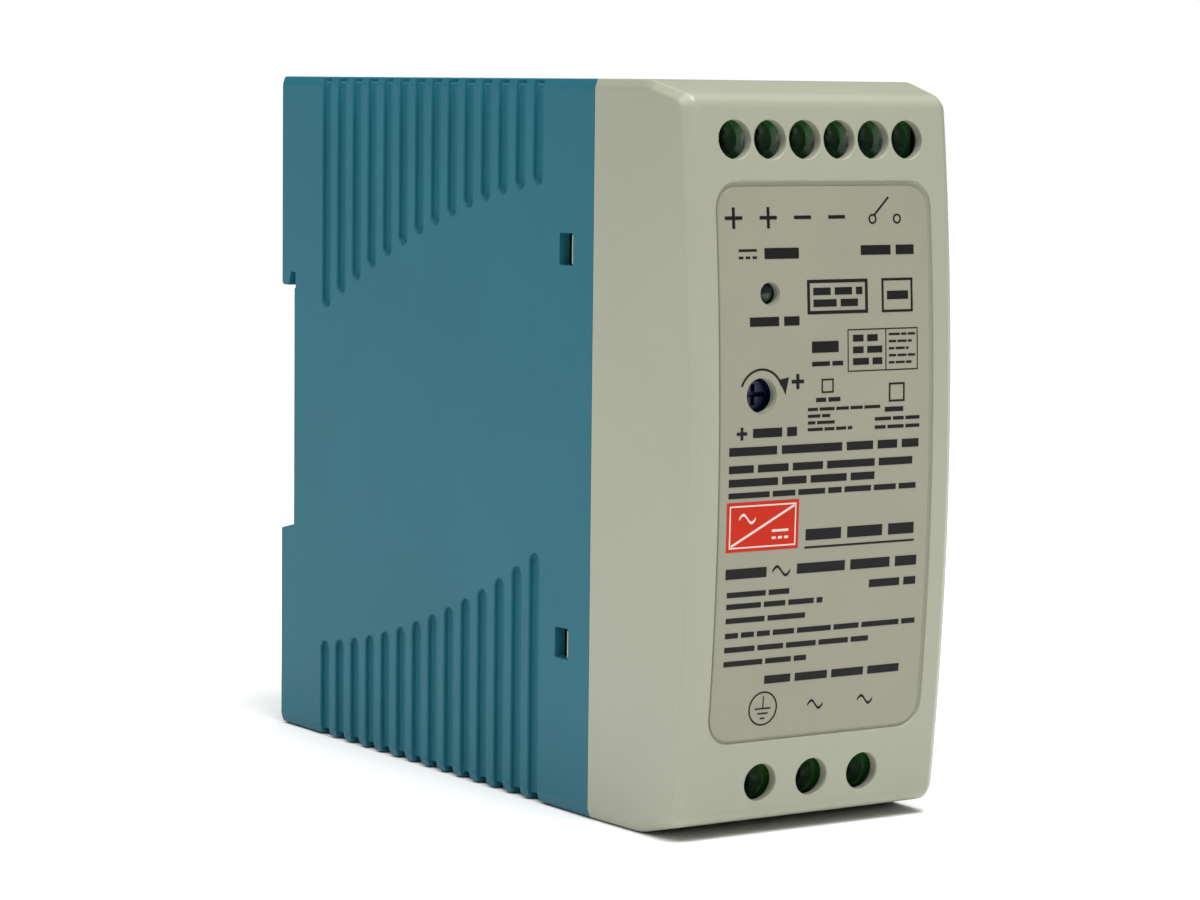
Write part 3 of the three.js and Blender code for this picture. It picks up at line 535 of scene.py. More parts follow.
def edge_weight(edge, vertices):
    """Share of the housing's largest rounding that an edge of its blank gets."""
    a, b = (vertices[index].co for index in edge.vertices)
    on_end = abs(a.z - b.z) < SAME and (abs(a.z) < SAME or abs(a.z - HEIGHT) < SAME)
    if abs(a.y - HOUSING_FRONT_Y) < SAME and abs(b.y - HOUSING_FRONT_Y) < SAME:
        return 0.1
    if on_end and abs(a.x - b.x) > 1:
        return 0.5
    if abs(a.y - b.y) > HEIGHT / 2:
        return 0.35 if on_end else 0.6
    return 0.25


def housing_outline(drop):
    """Y and Z of the housing's side outline, with its top and bottom moved in by the drop."""
    return [
        (HOUSING_FRONT_Y, drop), (REAR_Y, drop), (REAR_Y, SEAT_LOW_TIP_Z), (SEAT_Y, SEAT_LOW_ROOT_Z),
        (SEAT_Y, RELIEF_Z), (RELIEF_Y, RELIEF_Z), (RELIEF_Y, SEAT_TOP_ROOT_Z),
        (HOOK_ROOT_Y, SEAT_TOP_ROOT_Z), (HOOK_THROAT_Y, SEAT_TOP_TIP_Z),
        (REAR_Y - 0.3, SEAT_TOP_TIP_Z), (REAR_Y, SEAT_TOP_TIP_Z + 0.4),
        (REAR_Y, HEIGHT - drop), (HOUSING_FRONT_Y, HEIGHT - drop),
    ]


def housing_shell():
    inner = HALF_WIDTH - HOUSING_EDGE_INSET
    stations = [
        (-HALF_WIDTH, HOUSING_EDGE_DROP), (-inner, 0), (inner, 0), (HALF_WIDTH, HOUSING_EDGE_DROP),
    ]
    rings = [[(x, y, z) for y, z in housing_outline(drop)] for x, drop in stations]
    shell = stacked("housing_shell", rings)
    weights = shell.data.attributes.new("bevel_weight_edge", "FLOAT", "EDGE")
    for edge in shell.data.edges:
        weights.data[edge.index].value = edge_weight(edge, shell.data.vertices)
    modifier = shell.modifiers.new("rounding", "BEVEL")
    modifier.limit_method = "WEIGHT"
    modifier.width = HOUSING_ROUNDING
    modifier.segments = 4
    apply_modifiers(shell)

    inside = about(0, HALF_WIDTH - WALL)
    carve(shell, [
        box("cavity", inside, (HOUSING_FRONT_Y - 1, REAR_WALL_Y), (WALL, HEIGHT - WALL)),
        box("loft", inside, (REAR_WALL_Y - 1, REAR_Y - WALL), (SEAT_TOP_ROOT_Z + WALL, HEIGHT - WALL)),
        box("flange", about(0, GUIDE_FLANGE_HALF), (SEAT_Y, GUIDE_STEP_Y), (-1, SEAT_LOW_ROOT_Z + 1)),
        box("web", about(0, GUIDE_WEB_HALF), (SEAT_Y, REAR_Y + 1), (-1, SEAT_LOW_ROOT_Z + 1)),
    ])
    places = list(groove_places())
    hands = (1, -1)
    carve(shell, [merged("grooves", [side_groove_tool(*p, hand) for p in places for hand in hands])])
    carve(shell, [merged("grooves", [top_groove_tool(middle, side) for middle, side, _ in places])])
    carve(shell, [merged("vents", [vent_tool(p[0], p[1], hand) for p in places for hand in hands])])
    windows = []
    for front, rear, low, high in SNAP_WINDOWS:
        points = rounded_rectangle((front, rear), (low, high), 0.25, 4)
        span = HALF_WIDTH + 1
        windows.append(stacked("window", [[(x, y, z) for y, z in points] for x in (-span, span)]))
    carve(shell, [merged("windows", windows)])
    pockets = [
        box(
            "pocket", sorted(hand * x for x in WINDOW_POCKET), (front - 1, rear + 1), (low - 1, high + 1),
        )
        for front, rear, low, high in SNAP_WINDOWS for hand in hands
    ]
    carve(shell, [merged("pockets", pockets)])
    carve(shell, [box("peg", about(0, 1.3), (SEAT_Y - 1, 48.8), (9.4, 10.6))], "UNION")
    return finish_piece(
        shell, MATERIALS["housing_plastic"], "case", ["rear_housing"],
    )


# ---------------------------------------------------------------- front cover


def face_y(z, inset=0.0):
    """Y of the bulging front at a height, a distance inside the outer face."""
    return FRONT_Y + inset + (z - MID_Z) ** 2 / (2 * (FRONT_RADIUS - inset))


def slope_z(y, inset):
    return HEIGHT - math.tan(SLOPE) * (SLOPE_BREAK_Y - y) - inset / math.cos(SLOPE)


def cover_outline(inset, rear_y):
    """The cover's side outline, inset evenly, from the rear top round the front to the rear bottom."""
    corner_z = HEIGHT - inset
    for _ in range(6):
        corner_z = slope_z(face_y(corner_z, inset), inset)
    corner_y = face_y(corner_z, inset)
    break_y = SLOPE_BREAK_Y + inset * (1 / math.cos(SLOPE) - 1) / math.tan(SLOPE)
    top_z = HEIGHT - inset
    reach = CORNER_REACH - 0.6 * inset
    upper = [(rear_y, top_z)]
    after = break_y - BREAK_REACH * math.cos(SLOPE)
    upper += bend((break_y + BREAK_REACH, top_z), (break_y, top_z), (after, slope_z(after, inset)), 5)
    back_y = corner_y + reach * math.cos(SLOPE)
    down_z = corner_z - reach
    upper += bend(
        (back_y, slope_z(back_y, inset)), (corner_y, corner_z), (face_y(down_z, inset), down_z), 8,
    )
    steps = 20
    for step in range(1, steps):
        z = down_z + (MID_Z - down_z) * step / steps
        upper.append((face_y(z, inset), z))
    lower = [(y, HEIGHT - z) for y, z in reversed(upper)]
    return upper + [(FRONT_Y + inset, MID_Z)] + lower


def drafted_x(x, y):
    """X after the sides' draft, which narrows the cover towards the front."""
    forward = (COVER_REAR_Y - y) / (COVER_REAR_Y - FRONT_Y)
    return x * (1 - COVER_DRAFT / HALF_WIDTH * forward)


def edge_section():
    """Distance from the side face and inset, along the chamfer with its two rounded ends."""
    slant = EDGE_REACH * math.sqrt(0.5)
    first = bend((0, COVER_EDGE + EDGE_REACH), (0, COVER_EDGE), (slant, COVER_EDGE - slant), 4)
    second = bend(
        (COVER_EDGE - slant, slant), (COVER_EDGE, 0), (COVER_EDGE + EDGE_REACH, 0), 4,
    )
    return [(distance * EDGE_SPREAD, depth / EDGE_SPREAD) for distance, depth in first + second]


def edge_share(y):
    """Width of the chamfer at a place along Y, as a share of its width at the front."""
    start, end = EDGE_TAPER
    t = min(1.0, max(0.0, (y - start) / (end - start)))
    return SEAM_EDGE + (1 - SEAM_EDGE) * t * t * (3 - 2 * t)


def cover_body():
    stations = edge_section()
    rings = []
    for hand, ordered in ((-1, stations), (1, stations[::-1])):
        for distance, depth in ordered:
            rings.append([
                (drafted_x(hand * (HALF_WIDTH - distance * edge_share(y)), y), y, z)
                for y, z in cover_outline(depth, COVER_REAR_Y)
            ])
    return stacked("cover_shell", rings)


def cover_hollow():
    """The space inside the cover's wall."""
    reach = HALF_WIDTH - COVER_WALL
    outline = cover_outline(COVER_WALL, COVER_REAR_Y + 4)
    return stacked("hollow", [[(drafted_x(x, y), y, z) for y, z in outline] for x in (-reach, reach)])


def round_seam_edge(shell):
    """Rounds the outer edge of the cover where it meets the housing."""
    shaped = bmesh.new()
    shaped.from_mesh(shell.data)
    outer = []
    for edge in shaped.edges:
        a, b = (vertex.co for vertex in edge.verts)
        at_seam = abs(a.y - COVER_REAR_Y) < SAME and abs(b.y - COVER_REAR_Y) < SAME
        beyond_wall = all(
            abs(point.x) > HALF_WIDTH - WALL / 2 or abs(point.z - MID_Z) > MID_Z - WALL / 2
            for point in (a, b)
        )
        if at_seam and beyond_wall and len(edge.link_faces) == 2:
            outer.append(edge)
    bmesh.ops.bevel(
        shaped, geom=outer, offset=SEAM_ROUNDING, segments=3, affect="EDGES", profile=0.5,
        clamp_overlap=True,
    )
    shaped.to_mesh(shell.data)
    shaped.free()


def hole_tool(x, z, radius, lip, deep):
    """Cuts a round hole in the front, with a rounded lip. Its layers follow the front's bulge."""
    angles = [math.radians(degrees) for degrees in (15, 35, 55, 75, 90)]
    flare = 0.35
    layers = [(lip * (1 - math.sin(angle)), lip * (1 - math.cos(angle))) for angle in angles]
    mouth, top = layers[0]
    first = (mouth + flare * math.cos(angles[0]), top - flare * math.sin(angles[0]))
    rings = []
    for offset, depth in [first, *layers, (0, deep)]:
        rings.append([(u, face_y(v) + depth, v) for u, v in circle(x, z, radius + offset)])
    return stacked("hole", rings)


def recess_outline(offset):
    return rounded_rectangle(
        (-RECESS_HALF_WIDTH - offset, RECESS_HALF_WIDTH + offset),
        (RECESS_LOW - offset, RECESS_HIGH + offset), RECESS_RADIUS + offset, 10,
    )


def bulged(name, shaped, low, high):
    """An object from a flat shape, cut across every 2 mm and bent along the front's bulge."""
    z = low
    while z < high:
        geometry = shaped.verts[:] + shaped.edges[:] + shaped.faces[:]
        bmesh.ops.bisect_plane(shaped, geom=geometry, plane_co=(0, 0, z), plane_no=(0, 0, 1))
        z += 2
    for vertex in shaped.verts:
        vertex.co.y += face_y(vertex.co.z)
    bmesh.ops.recalc_face_normals(shaped, faces=shaped.faces)
    mesh = bpy.data.meshes.new(name)
    shaped.to_mesh(mesh)
    shaped.free()
    made = bpy.data.objects.new(name, mesh)
    bpy.context.scene.collection.objects.link(made)
    return made


def sliced_front(outline, depth_front, depth_back, wall_offsets):
    """A plate under an X-Z outline that follows the front's bulge. The wall's offsets widen or
    narrow the outline at the depths between front and back."""
    depths = [depth_front + (depth_back - depth_front) * share for share, _ in wall_offsets]
    shaped = bmesh.new()
    layers = []
    for depth, (_, offset) in zip(depths, wall_offsets):
        layers.append([shaped.verts.new((x, depth, z)) for x, z in outline(offset)])
    count = len(layers[0])
    for upper, lower in zip(layers, layers[1:]):
        for index in range(count):
            following = (index + 1) % count
            shaped.faces.new((upper[index], upper[following], lower[following], lower[index]))
    shaped.faces.new(layers[0])
    shaped.faces.new(layers[-1])
    heights = [vertex.co.z for vertex in shaped.verts]
    return bulged("plate", shaped, math.floor(min(heights)) + 1, max(heights))


def snap_tab(front, low, high, side):
    """A tab that reaches into the housing, with a hook that stands in a side window."""
    outer = HALF_WIDTH - WALL - 0.3
    inner = outer - 1.3
    hook = outer + 2.15
    tip = front + 1.3
    seam = COVER_REAR_Y
    profile = [
        (inner, seam - 2.9), (outer + 0.9, seam - 2.9), (outer + 0.9, seam - 0.25),
        (outer, seam - 0.25), (outer, front + 0.1), (hook, front + 0.1), (hook, front + 0.5),
        (outer, tip - 0.2), (outer, tip), (inner, tip),
    ]
    rings = [[(side * x, y, z) for x, y in profile] for z in (low + 0.2, high - 0.2)]
    return bevel(stacked("tab", rings), 0.06)


def cover_shell():
    shell = cover_body()
    round_seam_edge(shell)
    carve(shell, [cover_hollow()])
    recess = sliced_front(
        recess_outline, -0.3, RECESS_DEPTH,
        [(0, 0.28), (0.5, 0.06), (0.62, 0.02), (0.85, 0), (1, -0.1)],
    )
    carve(shell, [recess])
    holes = [
        hole_tool(LED_X, LED_Z, LED_HOLE, 0.12, 4),
        hole_tool(TRIMMER_X, TRIMMER_Z, TRIMMER_HOLE, 0.12, 4),
    ]
    windows = []
    for row in ROWS:
        for x, z, _ in poles(row):
            holes.append(hole_tool(x, z, row["hole"], 0.15, 5))
            top = level_range(row["side"], -1, WALL + 0.2)
            points = rounded_rectangle(about(x, row["chamber"]), (-38, WIRE_REAR_Y), 0.3, 4)
            windows.append(stacked("window", [[(u, v, level) for u, v in points] for level in top]))
    carve(shell, holes)
    carve(shell, [merged("windows", windows)])
    tabs = [snap_tab(front, low, high, side) for front, _, low, high in SNAP_WINDOWS for side in (1, -1)]
    carve(shell, [merged("tabs", tabs)], "UNION")
    return finish_piece(shell, MATERIALS["cover_plastic"], "case", ["front_cover"])


# ---------------------------------------------------------------- label and its print

LABEL_HALF_WIDTH = RECESS_HALF_WIDTH - LABEL_INSET
LABEL_LOW = RECESS_LOW + LABEL_INSET
LABEL_HIGH = RECESS_HIGH - LABEL_TOP_GAP
PRINT_HEIGHT = 0.025


def label_outline(offset):
    return rounded_rectangle(
        (-LABEL_HALF_WIDTH - offset, LABEL_HALF_WIDTH + offset),
        (LABEL_LOW - offset, LABEL_HIGH + offset), RECESS_RADIUS - LABEL_INSET + offset, 10,
    )


def label_sheet():
    sheet = sliced_front(
        label_outline, LABEL_FACE, LABEL_BACK, [(0, -0.2), (0.3, -0.1), (0.65, -0.02), (1, 0)],
    )
    holes = [(LED_X, LED_Z, LED_HOLE + 0.12), (TRIMMER_X, TRIMMER_Z, TRIMMER_HOLE + 0.12)]
    carve(sheet, [turned("hole", [(r, FRONT_Y - 1), (r, FRONT_Y + 4)], (x, z)) for x, z, r in holes])
    sheet.name = "label_sheet"
    return finish_piece(sheet, MATERIALS["label_film"], "case", ["front_label"])


def printed(name, shapes, material, rise=PRINT_HEIGHT):
    """Flat X-Z outlines printed on the label, following its bulge."""
    shaped = bmesh.new()
    for outline in shapes:
        front = [shaped.verts.new((x, LABEL_FACE - rise, z)) for x, z in outline]
        back = [shaped.verts.new((x, LABEL_FACE + 0.02, z)) for x, z in outline]
        shaped.faces.new(front)
        shaped.faces.new(back)
        for index in range(len(front)):
            following = (index + 1) % len(front)
            shaped.faces.new((front[index], front[following], back[following], back[index]))
    made = bulged(name, shaped, int(LABEL_LOW), int(LABEL_HIGH))
    return finish_piece(made, MATERIALS[material], "case")


def patch(x0, x1, z0, z1):
    return [(x0, z0), (x1, z0), (x1, z1), (x0, z1)]


def stroke(start, end, width):
    """A straight line of a given width as an outline."""
    along = Vector(end) - Vector(start)
    side = Vector((-along.y, along.x)).normalized() * width / 2
    a, b = Vector(start), Vector(end)
    return [tuple(a + side), tuple(a - side), tuple(b - side), tuple(b + side)]


def ring(x, z, radius, width, start=0, end=360, steps=32):
    """A ring, or part of one, as a row of short strokes that share their ends."""
    outer = arc((x, z), radius + width / 2, start, end, steps)
    inner = arc((x, z), radius - width / 2, start, end, steps)
    return [
        [outer[i], outer[i + 1], inner[i + 1], inner[i]] for i in range(steps)
    ]


def frame_lines(x0, x1, z0, z1, width):
    """The four sides of a printed box."""
    return [
        patch(x0, x1, z1 - width, z1), patch(x0, x1, z0, z0 + width),
        patch(x0, x0 + width, z0 + width, z1 - width), patch(x1 - width, x1, z0 + width, z1 - width),
    ]


def plus(x, z, half, width):
    arm = width / 2
    return [
        patch(x - half, x + half, z - arm, z + arm),
        patch(x - arm, x + arm, z + arm, z + half), patch(x - arm, x + arm, z - half, z - arm),
    ]


def minus(x, z, half, width):
    return [patch(x - half, x + half, z - width / 2, z + width / 2)]


def wave(x, z, half, height, width):
    """The sign for alternating current."""
    steps = 12
    points = []
    for step in range(steps + 1):
        share = step / steps
        points.append((x + (2 * share - 1) * half, z + height / 2 * math.sin(2 * math.pi * share)))
    top = [(px, pz + width / 2) for px, pz in points]
    low = [(px, pz - width / 2) for px, pz in points]
    return [[top[i], top[i + 1], low[i + 1], low[i]] for i in range(steps)]


def words(x0, x1, middle, cap, lengths=(3, 9)):
    """A line of placeholder print: one plain bar for each word, with no letters in it."""
    cell = cap * 0.66
    half = cap * 0.34
    shapes = []
    x = x0
    while x < x1 - cell:
        end = min(x + cell * random.randint(*lengths), x1)
        shapes.append(patch(x, end, middle - half, middle + half))
        x = end + cell * 0.7
    return shapes


def label_print():
    dark = []
    sign_z = 73.9
    for x in (-13.3, -8.3):
        dark += plus(x, sign_z, 1.25, 0.42)
    for x in (-3.3, 1.75):
        dark += minus(x, sign_z, 1.25, 0.42)
    # Open contact of the signal relay.
    dark += ring(7.1, 73.6, 0.5, 0.22) + ring(10.8, 73.6, 0.5, 0.22)
    dark += [stroke((7.35, 74.05), (9.6, 76.2), 0.24)]
    # Direct current output: the sign and a word.
    dark += minus(-11.4, 70.1, 1.3, 0.3)
    dark += [patch(-12.7 + 0.98 * i, -12.7 + 0.98 * i + 0.64, 69.1, 69.4) for i in range(3)]
    dark += words(-9.0, -2.0, 69.7, 1.9, (4, 4))
    dark += words(5.2, 13.2, 69.9, 1.7, (4, 4))
    dark += words(-11.3, -4.1, 61.7, 1.6, (4, 4))
    # Plain shapes where approval marks would be.
    dark += frame_lines(-2.9, 6.1, 62.4, 66.5, 0.4) + words(-2.0, 5.3, 65.1, 1.3, (3, 4))
    dark += words(-2.0, 5.3, 63.7, 1.3, (3, 4))
    dark += frame_lines(8.2, 12.9, 62.4, 66.5, 0.3) + words(9.0, 12.2, 64.45, 1.5, (3, 4))
    dark += words(-2.3, 2.3, 58.5, 2.0, (2, 3))
    dark += words(-2.3, 2.3, 56.5, 0.8, (3, 5))
    dark += frame_lines(3.0, 13.6, 55.4, 60.5, 0.14) + [patch(8.68, 8.82, 55.5, 60.4)]
    for line in range(3):
        dark += words(3.8, 8.2, 59.4 - 1.4 * line, 1.2, (2, 3))
    for line in range(5):
        dark += words(9.2, 13.2 - 0.5 * (line % 3), 59.75 - 0.85 * line, 0.42, (3, 6))
    dark += frame_lines(-0.9, 0.9, 53.0, 54.7, 0.2) + words(-1.7, 1.9, 52.2, 0.75, (3, 5))
    dark += frame_lines(9.2, 11.6, 51.6, 53.9, 0.24) + words(8.6, 12.3, 50.7, 0.85, (3, 5))
    for x1, z in ((7.9, 51.1), (0.4, 50.3), (1.3, 49.5), (3.7, 48.7)):
        dark += words(-2.9, x1, z, 0.56, (3, 7))
    for z in (49.6, 48.6):
        dark += words(7.1, 13.9, z, 0.62, (3, 7))
    # Turning arrow round the trimmer, with its plus sign.
    dark += ring(TRIMMER_X, TRIMMER_Z, 3.1, 0.26, 158, 20, 20)
    tip = Vector((TRIMMER_X + 3.45, TRIMMER_Z + 0.3))
    dark += [[(tip.x - 0.95, tip.y + 1.5), (tip.x, tip.y - 0.3), (tip.x + 0.5, tip.y + 1.75)]]
    dark += plus(-4.4, 54.5, 0.9, 0.45)
    dark += plus(-12.5, 48.6, 0.75, 0.4) + words(-10.9, -4.5, 48.6, 1.6, (4, 4))
    # Four lines of placeholder print.
    for x1, z, cap in ((13.8, 46.5, 1.5), (12.9, 44.4, 1.35), (8.4, 42.8, 1.35), (13.5, 41.3, 1.0)):
        dark += words(-14.3, x1, z, cap)
    # Type line with its underline, and the input rating with the sign for alternating current.
    dark += words(-2.9, 13.4, 36.1, 2.0, (3, 4)) + [patch(-3.0, 13.5, 34.45, 34.7)]
    dark += words(-14.4, -8.4, 32.0, 1.8, (5, 5)) + wave(-6.3, 32.0, 1.3, 1.1, 0.36)
    dark += words(-4.0, 14.0, 32.1, 1.8, (4, 7)) + words(6.9, 14.0, 29.6, 1.4, (5, 5))
    notes = (
        (-5.0, 29.5), (0.0, 28.1), (-2.5, 26.4), (14.2, 24.6), (7.2, 22.9), (-2.0, 21.2),
    )
    for x1, z in notes:
        dark += words(-14.1, x1, z, 0.95)
    dark += words(-8.0, 13.8, 18.9, 1.45, (4, 6))
    # Earth sign in a circle, and the two supply poles.
    dark += ring(-7.95, 15.4, 2.0, 0.2, 0, 360, 40)
    dark += [patch(-8.03, -7.87, 15.4, 16.9)]
    dark += minus(-7.95, 15.4, 1.15, 0.2) + minus(-7.95, 14.8, 0.75, 0.2) + minus(-7.95, 14.2, 0.35, 0.2)
    dark += wave(-0.2, 15.3, 1.15, 1.0, 0.34) + wave(7.3, 15.3, 1.15, 1.0, 0.34)
    printed("label_print_dark", dark, "print_dark")

    # Red block with the generic sign of a converter: alternating current in, direct current out.
    printed("label_print_red", [patch(-14.5, -4.0, 34.6, 40.5)], "print_red")
    pale = frame_lines(-14.1, -4.4, 35.0, 40.1, 0.18)
    pale += [stroke((-13.8, 35.3), (-4.7, 39.8), 0.28)]
    pale += wave(-11.5, 38.5, 1.2, 1.0, 0.34)
    pale += minus(-6.7, 36.9, 1.2, 0.3)
    pale += [patch(-7.9 + 0.9 * i, -7.9 + 0.9 * i + 0.6, 35.9, 36.2) for i in range(3)]
    printed("label_print_pale", pale, "print_pale", PRINT_HEIGHT + 0.01)


# ---------------------------------------------------------------- terminals and controls


def bored_block(row):
    """A terminal block with a round bore over each screw and a wire hole to its clamp."""
    low, high = node_box(f"{row['name']}_terminal_block")
    side = row["side"]
    outline = [
        (BLOCK_REAR_Y, 2.3), (-40.2, 2.3), (-42.0, 3.9), (BLOCK_FRONT_Y, 3.9),
        (BLOCK_FRONT_Y, 11.4), (BLOCK_REAR_Y, 11.4),
    ]
    span = (low[0], high[0])
    block = stacked("block", [[(x, y, level_z(side, depth)) for y, depth in outline] for x in span])
    bevel(block, 0.25, 3)
    bores, chambers, bars = [], [], []
    for x, z, _ in poles(row):
        wide, narrow = row["head"] + 0.25, row["shaft"] + 0.25
        bores.append(turned(
            "bore",
            [(wide + 0.35, BLOCK_FRONT_Y - 0.3), (wide + 0.03, BLOCK_FRONT_Y + 0.05),
             (wide, BLOCK_FRONT_Y + 0.4), (wide, HEAD_SEAT_Y),
             (narrow, HEAD_SEAT_Y), (narrow, CHAMBER_FRONT_Y + 0.5)],
            (x, z),
        ))
        chambers.append(box(
            "chamber", about(x, row["chamber"]), (CHAMBER_FRONT_Y, CHAMBER_REAR_Y),
            level_range(side, row["inset"] - 2.5, row["inset"] + 2.5),
        ))
        chambers.append(box(
            "way", about(x, row["chamber"]), (-36.4, WIRE_REAR_Y),
            level_range(side, 0, row["inset"] - 2.5),
        ))
        bars.append(box(
            "bar", about(x, 0.9), (-37.1, -36.4), level_range(side, row["inset"] - 2.2, row["inset"] + 3.0),
        ))
    carve(block, [merged("bores", bores)])
    carve(block, chambers)
    carve(block, [merged("bars", bars)], "UNION")
    block.name = f"{row['name']}_block_moulding"
    return finish_piece(
        block, MATERIALS["terminal_plastic"], "case",
        [f"{row['name']}_terminal_block"],
    )


def screw_piece(row, x, z, number):
    """A cheese-head screw with a long slot crossed by a short one."""
    node = f"{row['name']}_screw_{number}"
    low, high = node_box(node)
    face, tip = low[1], high[1]
    head, shaft = row["head"], row["shaft"]
    under = face + 0.9
    profile = [
        (head * 0.55, face), (head - 0.25, face), (head - 0.08, face + 0.06), (head, face + 0.22),
        (head, under), (shaft, under),
    ]
    pitch = 0.5
    y = under + 0.2
    while y < tip - 0.5:
        profile += [(shaft, y), (shaft - 0.14, y + pitch / 2)]
        y += pitch
    profile += [(shaft - 0.14, tip - 0.2), (shaft - 0.4, tip)]
    screw = turned(node + "_turned", profile, (x, z), 36)
    slots = (face - 1, face + 0.5)
    carve(screw, [
        box("slot", about(x, head + 1), slots, about(z, 0.3)),
        box("cross", about(x, 0.3), slots, about(z, head * 0.6)),
    ])
    screw.name = node + "_metal"
    return finish_piece(screw, MATERIALS["zinc_steel"], node + "_body", [node], 30)


def led_piece():
    low, high = node_box("status_led")
    tip, lead_end = low[1], high[1]
    base = round(tip + LENS_LENGTH, 3)
    radius = LENS_RADIUS
    profile = [(0.05, tip)]
    for angle in (15, 30, 45, 60, 75, 90):
        turn = math.radians(angle)
        profile.append((radius * math.sin(turn), tip + 0.9 - 0.9 * math.cos(turn)))
    profile += [(radius, base - 0.8), (radius + 0.3, base - 0.8), (radius + 0.3, base), (0.4, base)]
    lens = turned("lens", profile, (LED_X, LED_Z), 32)
    leads = []
    for offset in (-0.8, 0.8):
        leads.append(turned("lead", [(0.3, base - 0.2), (0.3, lead_end)], (LED_X + offset, LED_Z), 12))
    carve(lens, [merged("leads", leads)], "UNION")
    lens.name = "led_body"
    return finish_piece(lens, MATERIALS["led_lens"], "case", ["status_led"])


def trimmer_pieces():
    low, high = node_box("trimmer_body")
    x, z = TRIMMER_X, TRIMMER_Z
    base = round(low[1] + TRIMMER_LENGTH, 3)
    sides = about(x, TRIMMER_HALF), (low[1], base), about(z, TRIMMER_HALF)
    body = bevel(box("trimmer", *sides), 0.25, 3)
    carve(body, [turned("seat", [(2.1, low[1] - 1), (2.1, low[1] + 1.8)], (x, z), 40)])
    leads = [
        turned("lead", [(0.35, base - 0.3), (0.35, high[1])], (x + dx, z + dz), 12)
        for dx, dz in ((-2.5, -2.5), (2.5, -2.5), (0, 2.5))
    ]
    carve(body, [merged("leads", leads)], "UNION")
    body.name = "trimmer_moulding"
    finish_piece(body, MATERIALS["trimmer_plastic"], "case", ["trimmer_body"])

    face = node_box("trimmer_rotor")[0][1]
    rotor = turned(
        "rotor", [(1.75, face), (1.9, face + 0.15), (1.9, low[1] + 1.5)], (x, z), 40,
    )
    slots = (face - 1, face + 0.9)
    carve(rotor, [
        box("arm", (x - 1.3, x + 3), slots, about(z, 0.3)),
        box("cross", about(x, 0.3), slots, about(z, 1.3)),
    ])
    rotor.name = "rotor_moulding"
    finish_piece(rotor, MATERIALS["trimmer_plastic"], "trimmer", ["trimmer_rotor"])


# ---------------------------------------------------------------- rail latch and spring


def latch_piece():
    low, high = node_box("din_latch")
    rear = high[1]
    flange = box("flange", about(0, 9), (low[1], 48.6), (low[2], 27.6))
    web = box("web", about(0, 6), (48.1, rear), (low[2], 27.6))
    tongue_outline = [(48, 26.6), (rear, 26.6), (rear, 28.6), (48.4, high[2]), (48, high[2])]
    tongue = stacked("tongue", [[(x, y, z) for y, z in tongue_outline] for x in (-6, 6)])
    carve(flange, [web, tongue], "UNION")
    bevel(flange, 0.12, 3, 30)
    carve(flange, [
        box("pocket", about(0, 1.7), (low[1] - 1, 49.1), (9.1, 22.2)),
        box("pull", about(0, 3), (rear - 1.8, rear + 1), (2.4, 4.4)),
        merged("grips", [
            box("grip", about(0, 4.5), (rear - 0.5, rear + 1), about(z, 0.35)) for z in (5.8, 7.2)
        ]),
    ])
    flange.name = "latch_moulding"
    return finish_piece(flange, MATERIALS["latch_plastic"], "latch", ["din_latch"])


def spring_piece():
    """The coil spring as one bent wire."""
    low, high = node_box("latch_spring")
    wire = 0.2
    turns, per_turn, around = 7, 24, 10
    radius = (high[0] - low[0]) / 2 - wire
    centre_y = (low[1] + high[1]) / 2
    rings = []
    total = turns * per_turn
    for step in range(total + 1):
        angle = 2 * math.pi * step / per_turn
        rise = (high[2] - low[2] - 2 * wire) / total
        z = low[2] + wire + rise * step
        ring_points = []
        for index in range(around):
            turn = 2 * math.pi * index / around
            reach = radius + wire * 0.98 * math.cos(turn)
            ring_points.append((
                reach * math.cos(angle), centre_y + reach * math.sin(angle),
                z + wire * 0.98 * math.sin(turn),
            ))
        rings.append(ring_points)
    spring = stacked("spring_wire", rings)
    finish_piece(spring, MATERIALS["zinc_steel"], "case", ["latch_spring"], 60)
    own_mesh(spring)
    return spring


# ---------------------------------------------------------------- CAD nodes that stay

NODE_FINISH = {
    "output_clamp": "plated_brass", "input_clamp": "plated_brass",
    "output_board": "circuit_board", "input_board": "circuit_board", "main_board": "circuit_board",
    "insulation_sheet": "insulating_paper",
    "transformer_core": "ferrite", "transformer_bobbin": "black_plastic",
    "transformer_winding": "yellow_tape",
    "bulk_capacitor": "capacitor_sleeve", "output_capacitor": "capacitor_sleeve",
    "input_choke_core": "ferrite", "input_choke_winding": "copper_wire",
    "output_inductor_core": "green_coating", "output_inductor_winding": "copper_wire",
    "filter_capacitor": "yellow_tape", "bridge_rectifier": "black_plastic", "fuse": "white_plastic",
    "inrush_thermistor": "green_coating", "surge_varistor": "blue_coating",
    "safety_capacitor": "blue_coating",
    "switch_heatsink": "sink_aluminium", "rectifier_heatsink": "sink_aluminium",
    "power_switch": "black_plastic", "output_rectifier": "black_plastic",
    "switch_screw": "zinc_steel", "rectifier_screw": "zinc_steel",
    "signal_relay": "white_plastic", "optocoupler": "white_plastic", "control_chip": "black_plastic",
}


